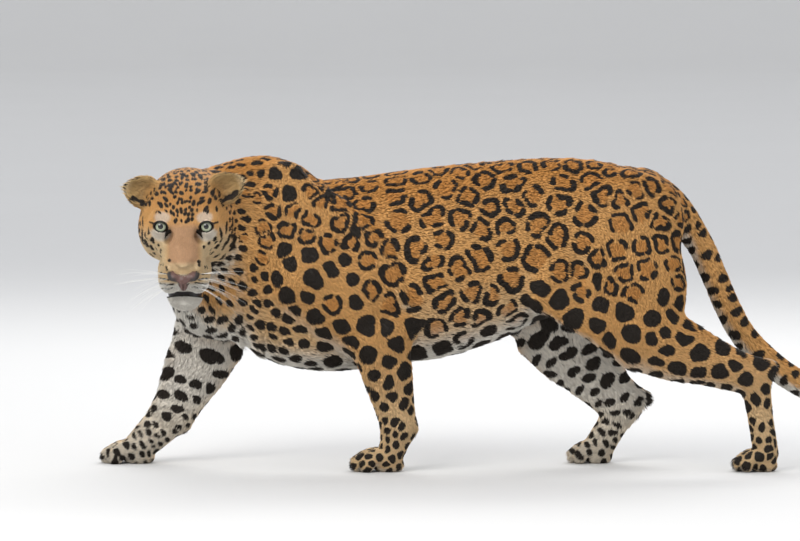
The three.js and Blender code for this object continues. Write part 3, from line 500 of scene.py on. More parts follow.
# The skin inside a box as one vertex in each grid cell that it crosses, at the mean of its crossings,
# and one quad round each grid edge that it crosses.
def netSurface(low, high, cell, distance=skinField):
    low, high = np.asarray(low, float), np.asarray(high, float)
    n = (np.ceil((high - low) / cell / 4) * 4 + 1).astype(int)
    blocks = (n - 1) // 4
    middle = np.stack(np.meshgrid(*[np.arange(b) * 4 + 2 for b in blocks], indexing="ij"), -1).reshape(-1, 3)
    coarse = distance(low + middle * cell)
    values = np.kron(coarse.reshape(blocks), np.ones((4, 4, 4)))
    values = np.pad(values, ((0, 1),) * 3, mode="edge")
    live = np.abs(coarse) < 4.4 * cell
    inner = np.stack(np.meshgrid(*[np.arange(5)] * 3, indexing="ij"), -1).reshape(-1, 3)
    wanted = np.zeros(n, bool)
    wanted[tuple(((middle[live] - 2)[:, None] + inner[None]).reshape(-1, 3).T)] = True
    points = np.argwhere(wanted)
    values[tuple(points.T)] = distance(low + points * cell)
    for _ in range(30):  # corners inside and outside by turns: the outer one nearest the surface joins
        inside = values < 0
        changed = 0
        for a, b in ((0, 1), (1, 2), (0, 2)):
            def corner(i, j):
                cut = [slice(None)] * 3
                cut[a] = slice(1, None) if i else slice(None, -1)
                cut[b] = slice(1, None) if j else slice(None, -1)
                return tuple(cut)
            ring = [corner(0, 0), corner(1, 0), corner(1, 1), corner(0, 1)]
            p, q, r, s = (inside[c] for c in ring)
            mixed = np.argwhere((p == r) & (q == s) & (p != q))
            if not len(mixed):
                continue
            changed += len(mixed)
            steps = np.zeros((4, 3), int)
            steps[1, a] = steps[2, a] = steps[2, b] = steps[3, b] = 1
            at = mixed[:, None] + steps[None]
            v = values[at[..., 0], at[..., 1], at[..., 2]]
            pick = at[np.arange(len(at)), np.argmin(np.where(v >= 0, v, np.inf), axis=1)]
            values[tuple(pick.T)] = -0.01
        if not changed:
            break
    inside = values < 0
    corners = np.array([(c & 1, (c >> 1) & 1, (c >> 2) & 1) for c in range(8)])
    count = sum(inside[a:a + n[0] - 1, b:b + n[1] - 1, c:c + n[2] - 1].astype(int) for a, b, c in corners)
    cells = np.argwhere((count > 0) & (count < 8))
    v = np.stack([values[tuple((cells + c).T)] for c in corners], 1)
    total, hits = np.zeros((len(cells), 3)), np.zeros(len(cells))
    for a in range(8):
        for bit in (1, 2, 4):
            if a & bit:
                continue
            b = a | bit
            crossed = (v[:, a] < 0) != (v[:, b] < 0)
            t = np.where(crossed, v[:, a] / np.where(crossed, v[:, a] - v[:, b], 1), 0)
            place = corners[a] + t[:, None] * (corners[b] - corners[a])
            total += place * crossed[:, None]
            hits += crossed
    vertices = low + (cells + total / hits[:, None]) * cell
    number = np.full(n - 1, -1)
    number[tuple(cells.T)] = np.arange(len(cells))
    quads = []
    for axis in range(3):
        step = np.eye(3, dtype=int)[axis]
        b, c = np.eye(3, dtype=int)[(axis + 1) % 3], np.eye(3, dtype=int)[(axis + 2) % 3]
        size = n - step
        here = inside[:size[0], :size[1], :size[2]]
        ahead = inside[step[0]:, step[1]:, step[2]:]
        edge = np.argwhere(here != ahead)
        edge = edge[((edge @ (b + c) > 0) & (edge @ b > 0) & (edge @ c > 0)
                     & (edge @ b < (n - 1) @ b) & (edge @ c < (n - 1) @ c))]
        ring = np.stack([number[tuple((edge - o).T)] for o in (b + c, c, 0 * b, b)], 1)
        flip = ~here[tuple(edge.T)]
        ring[flip] = ring[flip][:, ::-1]
        quads.append(ring)
    return vertices, np.vstack(quads)


# Spheres that bound the parts of the skin that need a finer grid, each within its parent.
fineParts = {
    "head": dict(cell=2.8, parent="body", balls=[
        (headMiddle, 148), (inHead(0, 142, -92), 84),
        (inHead(100, -12, 46), 58), (inHead(-100, -12, 52), 58)]),
    "foreLeft": dict(cell=3.6, parent="body", balls=[((-132, -87, 30), 96)]),
    "foreRight": dict(cell=3.6, parent="body", balls=[((-676, 88, 34), 96)]),
    "hindLeft": dict(cell=3.6, parent="body", balls=[((670, -89, 32), 88)]),
    "hindRight": dict(cell=3.6, parent="body", balls=[((322, 90, 32), 88)]),
    "lidsRight": dict(cell=1.3, parent="head", balls=[(inHead(*eyes[0]) + gaze * 8, 27)]),
    "lidsLeft": dict(cell=1.3, parent="head", balls=[(inHead(*eyes[1]) + gaze * 8, 27)]),
    "muzzle": dict(cell=1.9, parent="head", balls=[(inHead(0, 152, -96), 67)]),
}
bodyCell = 7.6


def outsideOf(balls, p):  # distance to the union of the spheres
    return np.min([np.linalg.norm(p - np.asarray(c), axis=1) - r for c, r in balls], axis=0)


def keepFaces(vertices, quads, keep):  # the faces whose corners are all kept, with their vertices renumbered
    quads = quads[keep[quads].all(1)]
    used = np.unique(quads)
    number = np.full(len(vertices), -1)
    number[used] = np.arange(len(used))
    return vertices[used], number[quads]


def mainPiece(vertices, quads):  # the largest connected piece: labels spread along edges until they rest
    label = np.arange(len(vertices))
    while True:
        new = label.copy()
        low = label[quads].min(1)
        for i in range(4):
            np.minimum.at(new, quads[:, i], low)
        new = new[new]
        if (new == label).all():
            break
        label = new
    best = np.bincount(label[quads[:, 0]]).argmax()
    return keepFaces(vertices, quads, label == best)


def openLoops(quads):  # the open edges walked into loops, the way the faces beside them run
    edges = np.vstack([quads[:, [i, (i + 1) % 4]] for i in range(4)])
    top = quads.max() + 1
    single = edges[~np.isin(edges[:, 1] * top + edges[:, 0], edges[:, 0] * top + edges[:, 1])]
    following = dict(zip(single[:, 0].tolist(), single[:, 1].tolist()))
    loops = []
    while following:
        start, at = following.popitem()
        loop = [start]
        while at != start:
            loop.append(at)
            at = following.pop(at)
        loops.append(loop)
    return loops


# Triangles between two loops that run opposite ways: the shorter next rung is taken each time.
def zipLoops(points, first, second):
    second = second[::-1]
    start = int(np.argmin(np.linalg.norm(points[second] - points[first[0]], axis=1)))
    a, b = first + first[:1], second[start:] + second[:start + 1]
    i = j = 0
    faces = []
    while i < len(a) - 1 or j < len(b) - 1:
        stepA = np.inf if i == len(a) - 1 else np.linalg.norm(points[a[i + 1]] - points[b[j]])
        stepB = np.inf if j == len(b) - 1 else np.linalg.norm(points[a[i]] - points[b[j + 1]])
        if stepA <= stepB:
            faces.append((a[i + 1], a[i], b[j]))
            i += 1
        else:
            faces.append((a[i], b[j], b[j + 1]))
            j += 1
    return faces


# One closed skin: the body on a coarse grid, finer parts in its holes, and strips that zip them together.
def skinMesh():
    whole = dict(cell=bodyCell, parent=None, low=(-760, -215, -14), high=(1130, 185, 690))
    sets, loops, total = {}, {}, 0
    for name, part in {"body": whole, **fineParts}.items():
        if part["parent"]:
            centres = np.array([c for c, _ in part["balls"]])
            radii = np.array([r for _, r in part["balls"]])[:, None]
            low, high = (centres - radii).min(0) - 8, (centres + radii).max(0) + 8
            low[2] = max(low[2], -12)
        else:
            low, high = part["low"], part["high"]
        v, q = netSurface(low, high, part["cell"])
        keep = np.ones(len(v), bool)
        if part["parent"]:
            keep = outsideOf(part["balls"], v) < -0.5 * part["cell"]
        for child in fineParts.values():
            if child["parent"] == name:
                keep &= outsideOf(child["balls"], v) > 0.5 * part["cell"]
        v, q = mainPiece(*keepFaces(v, q, keep))
        v = settle(v)
        sets[name] = (v, q + total)
        loops[name] = [[i + total for i in loop] for loop in openLoops(q)]
        print(f"  {name}: {len(v)} vertices, loops {[len(loop) for loop in loops[name]]}")
        total += len(v)
    points = np.vstack([v for v, _ in sets.values()])
    strips = []
    for name, part in fineParts.items():
        def off(loop):
            return np.abs(outsideOf(part["balls"], points[loop])).mean()
        own = min(loops[name], key=off)
        outer = min(loops[part["parent"]], key=off)
        loops[name].remove(own)
        loops[part["parent"]].remove(outer)
        strips += zipLoops(points, own, outer)
    print("  loops left open:", sum(len(rest) for rest in loops.values()))
    return points, np.vstack([q for _, q in sets.values()]), np.array(strips)


def linked(name, data):  # an object in the scene with this mesh, light or camera
    thing = bpy.data.objects.new(name, data)
    bpy.context.scene.collection.objects.link(thing)
    return thing


def putMesh(name, points, faceSets):  # one mesh from points in the drawing's millimetres
    mesh = bpy.data.meshes.new(name)
    corners = np.concatenate([f.ravel() for f in faceSets]).astype(np.int32)
    sizes = np.concatenate([np.full(len(f), f.shape[1], np.int32) for f in faceSets])
    starts = np.concatenate([[0], np.cumsum(sizes)[:-1]]).astype(np.int32)
    mesh.vertices.add(len(points))
    mesh.vertices.foreach_set("co", toFrame(points).astype(np.float32).ravel())
    mesh.loops.add(len(corners))
    mesh.loops.foreach_set("vertex_index", corners)
    mesh.polygons.add(len(sizes))
    mesh.polygons.foreach_set("loop_start", starts)
    mesh.polygons.foreach_set("use_smooth", np.full(len(sizes), True))
    mesh.update(calc_edges=True)
    mesh.validate()
    return linked(name, mesh)


def putValues(mesh, name, values, kind="FLOAT"):  # a value, vector or colour for each vertex
    layer = mesh.attributes.new(name, kind, "POINT")
    slot = {"FLOAT": "value", "FLOAT_VECTOR": "vector", "FLOAT_COLOR": "color"}[kind]
    layer.data.foreach_set(slot, np.asarray(values, np.float32).ravel())


skinPoints, skinQuads, skinStrips = skinMesh()
skin = putMesh("skin", skinPoints, [skinQuads, skinStrips])
print("skin:", len(skinPoints), "vertices,", 2 * len(skinQuads) + len(skinStrips), "triangles")


# Finishes: shader sockets written as sums and products.

# A socket that adds its own Math nodes when values are added, taken or multiplied.
class Value:
    def __init__(self, finish, socket):
        self.finish, self.socket = finish, socket

    def math(self, operation, first, second):  # one Math node on two values or sockets
        return self.finish.add("Math", {"operation": operation}, **{"0": first, "1": second})["Value"]

    def __add__(self, other):
        return self.math("ADD", self, other)

    def __sub__(self, other):
        return self.math("SUBTRACT", self, other)

    def __rsub__(self, other):
        return self.math("SUBTRACT", other, self)

    def __mul__(self, other):
        return self.math("MULTIPLY", self, other)

    __radd__, __rmul__ = __add__, __mul__


# A material and the nodes that make it: add() takes a node's type, its settings, and its sockets' values
# or links.
class Finish:
    def __init__(self, name):
        self.material = bpy.data.materials.new(name)
        self.material.use_nodes = True
        self.tree = self.material.node_tree
        self.shader = self.tree.nodes["Principled BSDF"]

    def add(self, kind, settings, **sockets):
        node = self.tree.nodes.new("ShaderNode" + kind)
        for key, value in settings.items():
            setattr(node, key, value)
        for key, value in sockets.items():
            socket = node.inputs[int(key)] if key.isdigit() else node.inputs[key.replace("_", " ")]
            self.put(socket, value)
        return {socket.name: Value(self, socket) for socket in reversed(node.outputs) if socket.enabled}

    def put(self, socket, value):  # a link, a colour or a plain value
        if isinstance(value, Value):
            self.tree.links.new(value.socket, socket)
        elif isinstance(value, tuple) and socket.type == "RGBA":
            socket.default_value = (*value[:3], 1)
        else:
            socket.default_value = value

    def place(self):  # Object coordinates
        return self.add("TexCoord", {})["Object"]

    def attribute(self, name, output="Fac"):  # a value that the mesh carries
        return self.add("Attribute", {"attribute_name": name})[output]

    def noise(self, scale, detail=2.0, where=None, rough=0.5):  # fractal noise from 0 to 1
        where = where or self.place()
        return self.add("TexNoise", {}, Vector=where, Scale=scale, Detail=detail, Roughness=rough)["Fac"]

    def step(self, low, high, x):  # smooth step from 0 at low to 1 at high
        settings = {"interpolation_type": "SMOOTHSTEP"}
        return self.add("MapRange", settings, Value=x, **{"1": low, "2": high})["Result"]

    def blend(self, share, first, second, how="MIX"):  # colours mixed, or multiplied, by the share
        node = self.tree.nodes.new("ShaderNodeMix")
        node.data_type, node.blend_type = "RGBA", how
        self.put(node.inputs[0], share)
        self.put(node.inputs[6], first)
        self.put(node.inputs[7], second)
        return Value(self, node.outputs[2])

    def bump(self, height, distance, strength):  # a normal turned by the slope of the height
        return self.add("Bump", {}, Height=height, Distance=distance, Strength=strength)["Normal"]

    def surface(self, **sockets):  # the values of the surface itself
        for key, value in sockets.items():
            self.put(self.shader.inputs[key.replace("_", " ")], value)
        return self.material


# The coat's markings, the same for skin and hair.

def lattice(n, seed):  # a repeatable value from 0 to 1 for each lattice point: the fraction of a large sine
    h = np.sin(n[..., 0] * 127.1 + n[..., 1] * 311.7 + n[..., 2] * 74.7 + seed * 37.3) * 43758.5453
    return h - np.floor(h)


def valueNoise(p, size, seed):  # lattice values blended smoothly across each cell, from -1 to 1
    q = p / size
    base = np.floor(q)
    f = q - base
    f = f * f * (3 - 2 * f)
    total = np.zeros(len(p))
    for c in range(8):
        o = np.array([c & 1, (c >> 1) & 1, (c >> 2) & 1])
        w = np.prod(np.where(o, f, 1 - f), axis=1)
        total += w * lattice(base + o, seed)
    return 2 * total - 1


def skinFacts(p):  # normal, lie of the hair, say of each part and place along it, for points on the skin
    _, g = slope(p)
    normal = unit(g)
    _, lie, say, share = field(p, skinShapes, more=True)
    torso = say[:, 0] + 0.5 * say[:, 1]
    lie = unit(lie) - (0.35 * torso * np.abs(normal[:, 1]))[:, None] * upright
    lie = unit(lie - normal * (lie * normal).sum(1, keepdims=True))
    return normal, lie, say, share


facts = dict(zip(("normal", "lie", "say", "share"), skinFacts(skinPoints)))
print("skin facts ready")


# How the coat's places are told apart: each a weight from 0 to 1 at each point.
def places(p, normal, say):
    torso, neck, head = say[:, 0], say[:, 1], say[:, 2] + say[:, 8] + say[:, 9]
    fore, hind, tail = say[:, 3] + say[:, 4], say[:, 5] + say[:, 6], say[:, 7]
    body = torso + neck
    sideOf = np.sign(p[:, 1])
    belly = ramp(0.40, 0.86, -normal[:, 2]) * (body + 0.5 * (fore + hind))
    chest = ramp(0.25, 0.8, -normal[:, 0] - 0.7 * normal[:, 2]) * ramp(-380, -450, p[:, 0]) * (1 - head)
    chest = chest * ramp(560, 470, p[:, 2])
    throat = ramp(0.1, 0.6, -normal[:, 2]) * neck
    inner = ramp(-0.05, 0.55, -normal[:, 1] * sideOf) * ramp(440, 360, p[:, 2]) * (fore + hind)
    low = ramp(230, 60, p[:, 2]) * (fore + hind)
    return dict(torso=torso, neck=neck, head=head, fore=fore, hind=hind, tail=tail, body=body,
                belly=belly, chest=chest, throat=throat, inner=inner, low=low)


# The distance between neighbouring marks, in mm, and the share of each that is a ring.
def markSizes(p, normal, say):
    at = places(p, normal, say)
    x, z = p[:, 0], p[:, 2]
    torso = 53 - 18 * ramp(-130, -290, x) - 11 * ramp(-290, -430, x) - 13 * ramp(310, 450, x)
    torso = torso - 10 * ramp(0.75, 0.97, normal[:, 2])
    fore = 20 + 26 * ramp(60, 300, z) + 8 * at["inner"] * ramp(90, 200, z)
    hind = 21 + 25 * ramp(60, 340, z) + 4 * at["inner"] * ramp(90, 200, z)
    size = (at["torso"] * torso + at["neck"] * 24 + at["fore"] * fore + at["hind"] * hind + at["tail"] * 30
            + at["head"] * 16) / (say.sum(1) + 1e-9)
    size = size * (1 + 0.17 * valueNoise(p, 70, 21) * (1 - at["head"])) + 8 * at["belly"] * at["body"]
    ring = at["torso"] * (1 - at["belly"]) * (1 - 0.35 * ramp(330, 450, x) * ramp(560, 480, z))
    ring = ring * (1 - 0.7 * ramp(-330, -420, x)) + at["hind"] * ramp(330, 440, z) + 0.3 * at["neck"]
    ring = (ring + 0.35 * at["fore"] * ramp(330, 430, z)) * (1 - ramp(-180, -260, x) * ramp(490, 440, z))
    return size, np.clip(ring, 0, 1)


def apart(a, b):  # squared distances between two sets of points: a^2 - 2ab + b^2
    return (a * a).sum(1)[:, None] - 2 * a @ b.T + (b * b).sum(1)[None]


spread = {"seed": 7, "tries": 30000, "room": 0.82, "sample": 15000, "rounds": 4}
random = np.random.default_rng(spread["seed"])


# Marks spread over the skin: thrown one by one where there is room, then each moved to the middle of
# the skin that is nearest to it, measured in its own spacing.
def spreadMarks():
    size, ring = markSizes(skinPoints, facts["normal"], facts["say"])
    candidates = random.permutation(len(skinPoints))[:spread["tries"]]
    face = toHead(skinPoints)
    faceFront = (np.abs(face[:, 0]) < 92) & (face[:, 1] > 20) & (facts["say"][:, 2] > 0.5)
    candidates = candidates[~faceFront[candidates]]
    chosen, centres, room = [], np.zeros((4000, 3)), np.zeros(4000)
    for i in candidates:
        n = len(chosen)
        gap = np.linalg.norm(centres[:n] - skinPoints[i], axis=1)
        if n == 0 or (gap > spread["room"] * 0.5 * (room[:n] + size[i])).all():
            centres[n], room[n] = skinPoints[i], size[i]
            chosen.append(i)
    chosen = np.array(chosen)
    sample = random.permutation(candidates)[:spread["sample"]]
    for _ in range(spread["rounds"]):
        scale = size[chosen] ** 2
        nearest = np.concatenate([np.argmin(apart(skinPoints[block], skinPoints[chosen]) / scale, axis=1)
                                  for block in np.array_split(sample, 8)])
        weight = np.bincount(nearest, minlength=len(chosen))
        middle = np.stack([np.bincount(nearest, skinPoints[sample, k], len(chosen)) for k in range(3)], 1)
        middle /= np.maximum(weight, 1)[:, None]
        moved = sample[np.argmin(apart(middle, skinPoints[sample]), axis=1)]
        chosen = np.unique(np.where(weight > 3, moved, chosen))
    print("marks:", len(chosen))
    return chosen, size[chosen], ring[chosen]


chosen, markSize, markRing = spreadMarks()
edgeAngles = np.linspace(0, 2 * math.pi, 33)


# How far a mark's own ground reaches in each direction on the skin: to the line halfway to each
# neighbour, |n| * share / cos(angle), rounded over by a running mean.
def groundEdge(k, axisA, axisB, near, size):
    v = skinPoints[chosen[near]] - skinPoints[chosen[k]]
    a, b = v @ axisA, v @ axisB
    length = np.linalg.norm(v, axis=1)
    turn = np.arctan2(b, a)
    half = length * size[k] / (size[k] + size[near])
    cos = np.cos(edgeAngles[None, :-1] - turn[:, None])
    edge = np.where(cos > 0.08, half[:, None] / np.maximum(cos, 0.08), 1e6)
    edge = np.minimum(edge.min(0), 0.66 * size[k]) if len(near) else np.full(32, 0.5 * size[k])
    for _ in range(2):
        edge = (np.roll(edge, 1) + 2 * edge + np.roll(edge, -1)) / 4
    return np.append(edge, edge[0])


# The ranges of a spot's length and width, as shares of its own ground.
spotShapes = {
    "plain": ((0.58, 0.84), (0.50, 0.74)), "limb": ((0.66, 0.90), (0.58, 0.80)),
    "bar": ((0.42, 0.62), (0.74, 1.0)), "belly": ((0.6, 0.8), (0.6, 0.86)),
    "neck": ((0.62, 0.86), (0.42, 0.60)), "tail": ((0.5, 0.62), (0.62, 0.8)),
}


# One row for each mark: its centre, its axes on the skin, and its shape.
def drawMarks():
    rows = []
    at = places(skinPoints[chosen], facts["normal"][chosen], facts["say"][chosen])
    normals = facts["normal"][chosen]
    between = apart(skinPoints[chosen], skinPoints[chosen])
    for k, i in enumerate(chosen):
        normal, lie = facts["normal"][i], facts["lie"][i]
        across = np.cross(normal, lie)
        r = markSize[k]
        turn = random.normal(0, 0.2)
        axisA = lie * math.cos(turn) + across * math.sin(turn)
        axisB = np.cross(normal, axisA)
        near = np.nonzero((between[k] < (2.1 * r) ** 2) & (normals @ normal > 0.2))[0]
        edge = groundEdge(k, axisA, axisB, near[near != k], markSize)
        row = dict(centre=skinPoints[i], normal=normal, a=axisA, b=axisB, edge=edge, arcs=None,
                   reach=edge.max())
        if random.random() < markRing[k]:
            count = random.integers(3, 6) if r > 40 else random.integers(2, 4)
            angles = random.uniform(0, 2 * math.pi)
            angles = angles + (np.arange(count) + random.normal(0, 0.13, count)) * 2 * math.pi / count
            halfArc = math.pi / count * random.uniform(0.26, 0.84, count)
            row.update(arcs=(angles, halfArc, r * random.uniform(0.085, 0.145, count)), inset=0.08 * r)
        else:
            kinds = ["plain"] + ["limb"] * bool(at["hind"][k] + at["fore"][k] > 0.5)
            if at["chest"][k] > 0.4 or at["inner"][k] > 0.5:
                kinds.append("bar")
            elif at["belly"][k] > 0.4:
                kinds.append("belly")
            elif at["neck"][k] > 0.3 or at["head"][k] > 0.5 or skinPoints[i, 0] < -400:
                kinds.append("neck")
            elif at["tail"][k] > 0.5:
                kinds.append("tail")
            for kind in kinds:  # the last kind's draw is kept
                long, wide = (random.uniform(*span) for span in spotShapes[kind])
            row.update(long=long, wide=wide)
        rows.append(row)
    return rows


# The face's own rows, in mm across from the middle line and up from the line of the eyes:
# (from, to, how many, half length, half width, turn in degrees). Each is drawn on both sides.
faceRows = [
    ((3, 12), (4, 58), 5, 3.6, 2.6, 80), ((11, 4), (12, 62), 6, 3.6, 2.4, 80),
    ((19, 10), (20, 60), 5, 3.8, 2.6, 75), ((4, 66), (6, 118), 5, 4.6, 3.2, 80),
    ((14, 68), (18, 116), 5, 5.2, 3.0, 70), ((28, 26), (29, 50), 2, 4.2, 2.2, 74),
    ((25, 60), (34, 112), 5, 7.0, 2.6, 58), ((34, 46), (50, 100), 5, 7.6, 2.8, 50),
    ((46, 30), (64, 84), 4, 7.0, 3.2, 52), ((38, 33), (60, 31), 3, 5.0, 1.7, 74),
    ((66, 36), (84, 62), 3, 5.6, 3.0, 60), ((74, -4), (80, -44), 4, 7.6, 2.8, 84),
    ((86, 14), (92, -56), 5, 8.2, 3.2, 86), ((98, 4), (100, -48), 4, 8.4, 3.6, 88),
    ((62, -20), (70, -54), 4, 4.6, 3.0, 70), ((52, -34), (62, -62), 3, 3.6, 2.6, 60),
    ((44, -44), (54, -72), 3, 2.8, 2.2, 60), ((64, -66), (84, -70), 3, 6.0, 3.0, 60),
    ((56, -80), (78, -92), 3, 5.4, 2.8, 40), ((30, -68), (34, -86), 2, 4.0, 2.8, 30),
    ((40, -82), (50, -84), 2, 3.0, 2.2, 20),
]
padRows = [  # the dark lines the whiskers grow in, from the groove outwards
    ((24, -100), (52, -97), 1.5), ((22, -109), (54, -109), 1.8), ((20, -118), (52, -121), 1.6),
    ((20, -126), (46, -131), 1.2),
]


def onFace(across, high):  # the point of the skin straight behind this place of the front view
    x = headOrigin[0] + across
    z = inHead(*eyes[0])[2] + high
    start = np.stack([x, np.full(len(x), -420.0), z], 1)
    far = np.zeros(len(x))
    for _ in range(60):
        d = skinField(start + far[:, None] * np.array([0, 1.0, 0]))
        far += np.clip(d, -4, 12) * 0.8
    return start + far[:, None] * np.array([0, 1.0, 0]), np.abs(d) < 1


# The face's marks: spots along each row of the table, with seeded changes of place, size and turn, carried
# from the front view onto the skin.
def drawFaceMarks():
    spots = []
    for side in (-1, 1):
        for start, end, count, long, wide, turn in faceRows:
            t = (np.arange(count) + 0.5) / count + random.normal(0, 0.08, count)
            xy = np.array(start) + (np.array(end) - np.array(start)) * t[:, None]
            xy = xy + random.normal(0, 1.5, (count, 2))
            size = random.uniform(0.75, 1.2, count)
            for (x, z), s in zip(xy, size):
                angle = math.radians(turn + random.normal(0, 9))
                spots.append((side * x, z, long * s, wide * s, side * math.cos(angle), math.sin(angle)))
        for (x0, z0), (x1, z1), wide in padRows:
            for t in np.arange(0.08, 1, 0.24):
                s = random.uniform(0.8, 1.15)
                high = z0 + (z1 - z0) * t + random.normal(0, 0.6)
                rise = (z1 - z0) / (x1 - x0) + random.normal(0, 0.05)
                spots.append((side * (x0 + (x1 - x0) * t), high, 4.4 * s, wide * s, side * 0.995, rise))
    rows = []
    table = np.array(spots)
    table[:, 2:4] *= np.where(table[:, 1] > -94, 1.32, 1.1)[:, None]
    table[:, 3] *= np.where((table[:, 1] > -94) & (table[:, 1] < 6), 1.25, 1)
    points, hit = onFace(table[:, 0], table[:, 1])
    normal, _, _, _ = skinFacts(points)
    for k in np.nonzero(hit)[0]:
        way = np.array([table[k, 4], 0, table[k, 5]])
        a = unit(way - normal[k] * (way @ normal[k]))
        long, wide = table[k, 2], table[k, 3]
        rows.append(dict(centre=points[k], normal=normal[k], a=a, b=np.cross(normal[k], a), edge=None,
                         long=long, wide=wide, reach=1.3 * long))
    return rows


marks = drawMarks() + drawFaceMarks()
print("marks with the face:", len(marks))


# How far each point is from black, in mm: negative inside a mark. For a ring, the distance to the nearest
# arc; for a spot, the distance to its ellipse. Also how far inside a ring's warm centre each point is.
def markDistance(p, normal):
    wander = 2.0 * np.stack([valueNoise(p, 12, k) + 0.9 * valueNoise(p, 30, k + 9) for k in (1, 2, 3)], 1)
    wander *= np.clip(np.linalg.norm(p - headMiddle, axis=1, keepdims=True) / 150, 0.35, 1)
    q = p + wander
    order = np.argsort(q[:, 0])
    sortedX = q[order, 0]
    best = np.full(len(p), 30.0)
    warm = np.zeros(len(p))
    for row in marks:
        c, reach = row["centre"], row["reach"] + 10
        i0, i1 = np.searchsorted(sortedX, (c[0] - reach, c[0] + reach))
        near = order[i0:i1]
        v = q[near] - c
        keep = (np.abs(v[:, 1]) < reach) & (np.abs(v[:, 2]) < reach)
        near, v = near[keep], v[keep]
        keep = normal[near] @ row["normal"] > 0.1
        near, v = near[keep], v[keep]
        a, b = v @ row["a"], v @ row["b"]
        if row["edge"] is None:
            d = eggDistance(a, b, 0, row["long"], row["wide"], 1e6)
        elif row["arcs"] is None:
            edge = np.interp(np.arctan2(b, a) % (2 * math.pi), edgeAngles, row["edge"])
            d = (np.hypot(a / row["long"], b / row["wide"]) - edge) * min(row["long"], row["wide"])
        else:
            angles, halfArc, thick = row["arcs"]
            r, at = np.hypot(a, b), np.arctan2(b, a)
            edge = np.interp(at % (2 * math.pi), edgeAngles, row["edge"]) - row["inset"]
            turn = np.abs((at[:, None] - angles + math.pi) % (2 * math.pi) - math.pi)
            ring = edge[:, None] - thick
            past = np.maximum(turn - halfArc, 0) * ring
            d = (np.hypot(r[:, None] - ring, past) - thick).min(1)
            warm[near] = np.maximum(warm[near], ramp(0, -6, r - ring.mean(1)))
        best[near] = np.minimum(best[near], d)
    return best, warm


palette = {  # linear colours
    "back": (0.60, 0.265, 0.062), "flank": (0.70, 0.37, 0.125), "low": (0.74, 0.49, 0.25),
    "white": (0.78, 0.74, 0.66), "cream": (0.76, 0.57, 0.33), "warm": (0.54, 0.225, 0.05),
    "black": (0.013, 0.010, 0.008), "brown": (0.034, 0.024, 0.016), "bridge": (0.60, 0.35, 0.19),
    "brow": (0.62, 0.30, 0.085), "ear": (0.50, 0.33, 0.14), "lip": (0.012, 0.010, 0.010),
    # the colour below is painted shade for the deep of the ears' cups
    "hollow": (0.11, 0.065, 0.03),
}


def toward(colour, name, share):  # colour + (palette colour - colour) * share
    return colour + (np.array(palette[name]) - colour) * np.clip(share, 0, 1)[:, None]
